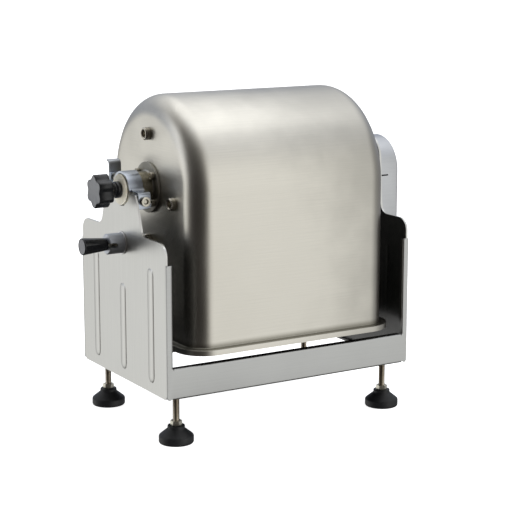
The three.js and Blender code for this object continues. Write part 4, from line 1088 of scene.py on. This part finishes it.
bronze = bright_steel("turned_bronze", "#A98850", 0.32)
bush_x, bush_length = span("input_bush")
turned_piece("bronze_bush", tube(8 + gap, [
    (0, 11.3), (bush_length - 2.5, 11.3), (bush_length - 2.5, 14.3), (bush_length, 14.3),
]), (bush_x, 0, input_z), ("stand", "bronze", bronze), ["input_bush"], edge=0.5)
for i in (1, 2, 3):
    screw = "cover_screw_%d" % i
    low, high = corners(screw)
    seat = high.x - 2.8
    turned_piece("cover_fixing_%d" % i, [
        (low.x, 0), (low.x, 2), (seat, 2), (seat, 4.2), (seat + 0.8, 4.1), (seat + 1.8, 3.5), (seat + 2.5, 2.6),
        (seat + 2.8, 1.7),
    ], (0, *centre(screw)[1:]), on_stand, [screw], 32, edge=0, sharp=45.0, shape=lambda form: sunk(form, -1.6))

# ---------- levelling feet ----------
# A threaded stud stands in a moulded rubber pad and is locked by a hexagon nut. It screws through a weld
# nut on the frame's shelf.
stud_steel = bright_steel("nickel_plated_thread", "#D9CFBE", 0.36, pitch=0.5, spread=0.04, relief_depth=0.02)
nut_steel = bright_steel("zinc_plated_nut", "#EBE8DA", 0.42, spread=0.03)
pad_rubber = moulded("moulded_black_rubber", "#17181A", 0.5, 1.2, 0.1)
thread_pitch = 25.4 / 16
thread_depth = 0.6
stud_hole_r = 5.05
hidden_end = 7.0  # the thread is drawn this much shorter, inside the weld nut


def threaded_stud(form, x, y, low_z, high_z, radius):
    """A real helical thread, cut off square at both ends."""
    turns = int((high_z - low_z) / thread_pitch) + 3
    steps = 18
    start_z = low_z - 1.5 * thread_pitch
    line = [form.verts.new((x + r, y, start_z + z * thread_pitch)) for r, z in
            ((radius - thread_depth, 0.0), (radius, 0.42), (radius, 0.58), (radius - thread_depth, 1.0))]
    edges = [form.edges.new(pair) for pair in zip(line, line[1:])]
    bmesh.ops.spin(form, geom=line + edges, cent=(x, y, 0), axis=Z, angle=2 * math.pi * turns,
                   steps=steps * turns, dvec=(0, 0, thread_pitch / steps), use_merge=False)
    bmesh.ops.remove_doubles(form, verts=form.verts, dist=1e-3)
    for z, up in ((low_z, -1), (high_z, 1)):
        bmesh.ops.bisect_plane(form, geom=form.verts[:] + form.edges[:] + form.faces[:], dist=1e-4,
                               plane_co=(0, 0, z), plane_no=(0, 0, up), clear_outer=True)
        cut = [e for e in rim_in(form.edges) if all(abs(v.co.z - z) < 1e-3 for v in e.verts)]
        bmesh.ops.holes_fill(form, edges=cut, sides=0)


def hexagon(name, x, y, low_z, height, flats):
    """A hexagon for a nut, flats wide."""
    form = bmesh.new()
    made = bmesh.ops.create_circle(form, cap_ends=False, segments=6, radius=flats / math.sqrt(3))["verts"]
    bmesh.ops.translate(form, verts=made, vec=(x, y, low_z))
    form.faces.new(made)
    raise_faces(form, (0, 0, height))
    return made_solid(form, name)


for corner in ("front_left", "front_right", "rear_left", "rear_right"):
    body = "foot_" + corner
    pad_low, pad_high = corners("foot_pad_" + corner)
    x, y, z = centre("foot_pad_" + corner)
    radius = (pad_high.x - pad_low.x) / 2
    turned_piece("rubber_pad_" + corner, [
        (0.6, 0), (0.6, radius - 3.6), (0, radius - 2.6), (0.2, radius - 1.2), (1.4, radius - 0.2),
        (2.4, radius), (9.2, radius), (10.6, radius - 0.4), (11.8, radius - 1.5), (19.4, 13.6), (20.6, 12.5),
        (21.6, 12.2), (24.0, 12.2), (24.8, 11.8), (25, 11.0), (25, 5.1), (13, 5.1), (13, 0),
    ], (x, y, 0), (body, "pad_rubber", pad_rubber), ["foot_pad_" + corner], 72, axis=Z, edge=0, sharp=55.0)

    nut_low, nut_high = corners("foot_nut_" + corner)
    flats = nut_high.y - nut_low.y
    height = nut_high.z - nut_low.z
    tip_r = flats / math.sqrt(3) + 0.1
    nut = hexagon("lock_nut_" + corner, x, y, nut_low.z, height, flats)
    chamfer = bmesh.new()
    face_r = flats / 2 - 0.1
    end_r = face_r - (tip_r - face_r) / 3  # the tool's cones run 0.3 mm past both faces of the nut
    turned(chamfer, [
        (-0.3, 0), (-0.3, end_r), (0.9, tip_r), (height - 0.9, tip_r), (height + 0.3, end_r), (height + 0.3, 0),
    ], Z, (x, y, nut_low.z), 48)
    joined(nut, chamfer, "INTERSECT")
    bored(nut, stud_hole_r, Z, (x, y, nut_low.z), -1, height + 1, 36)
    finish_piece(nut, body, "bright_steel", nut_steel, ["foot_nut_" + corner], edge=0.25, sharp=20.0)

    stud_low, stud_high = corners("foot_stud_" + corner)
    form = bmesh.new()
    threaded_stud(form, x, y, stud_low.z, stud_high.z - hidden_end, (stud_high.x - stud_low.x) / 2)
    finish_piece(made_solid(form, "threaded_stud_" + corner), body, "stud_steel", stud_steel,
                 ["foot_stud_" + corner], edge=0, sharp=30.0)

    shelf_top = foot_height + frame_sheet
    weld_nut = hexagon("weld_nut_" + corner, x, y, shelf_top, 7.5, 15.5)
    bored(weld_nut, stud_hole_r, Z, (x, y, shelf_top), -1, 9, 36)
    finish_piece(weld_nut, "stand", "bright_steel", nut_steel, edge=0.5)
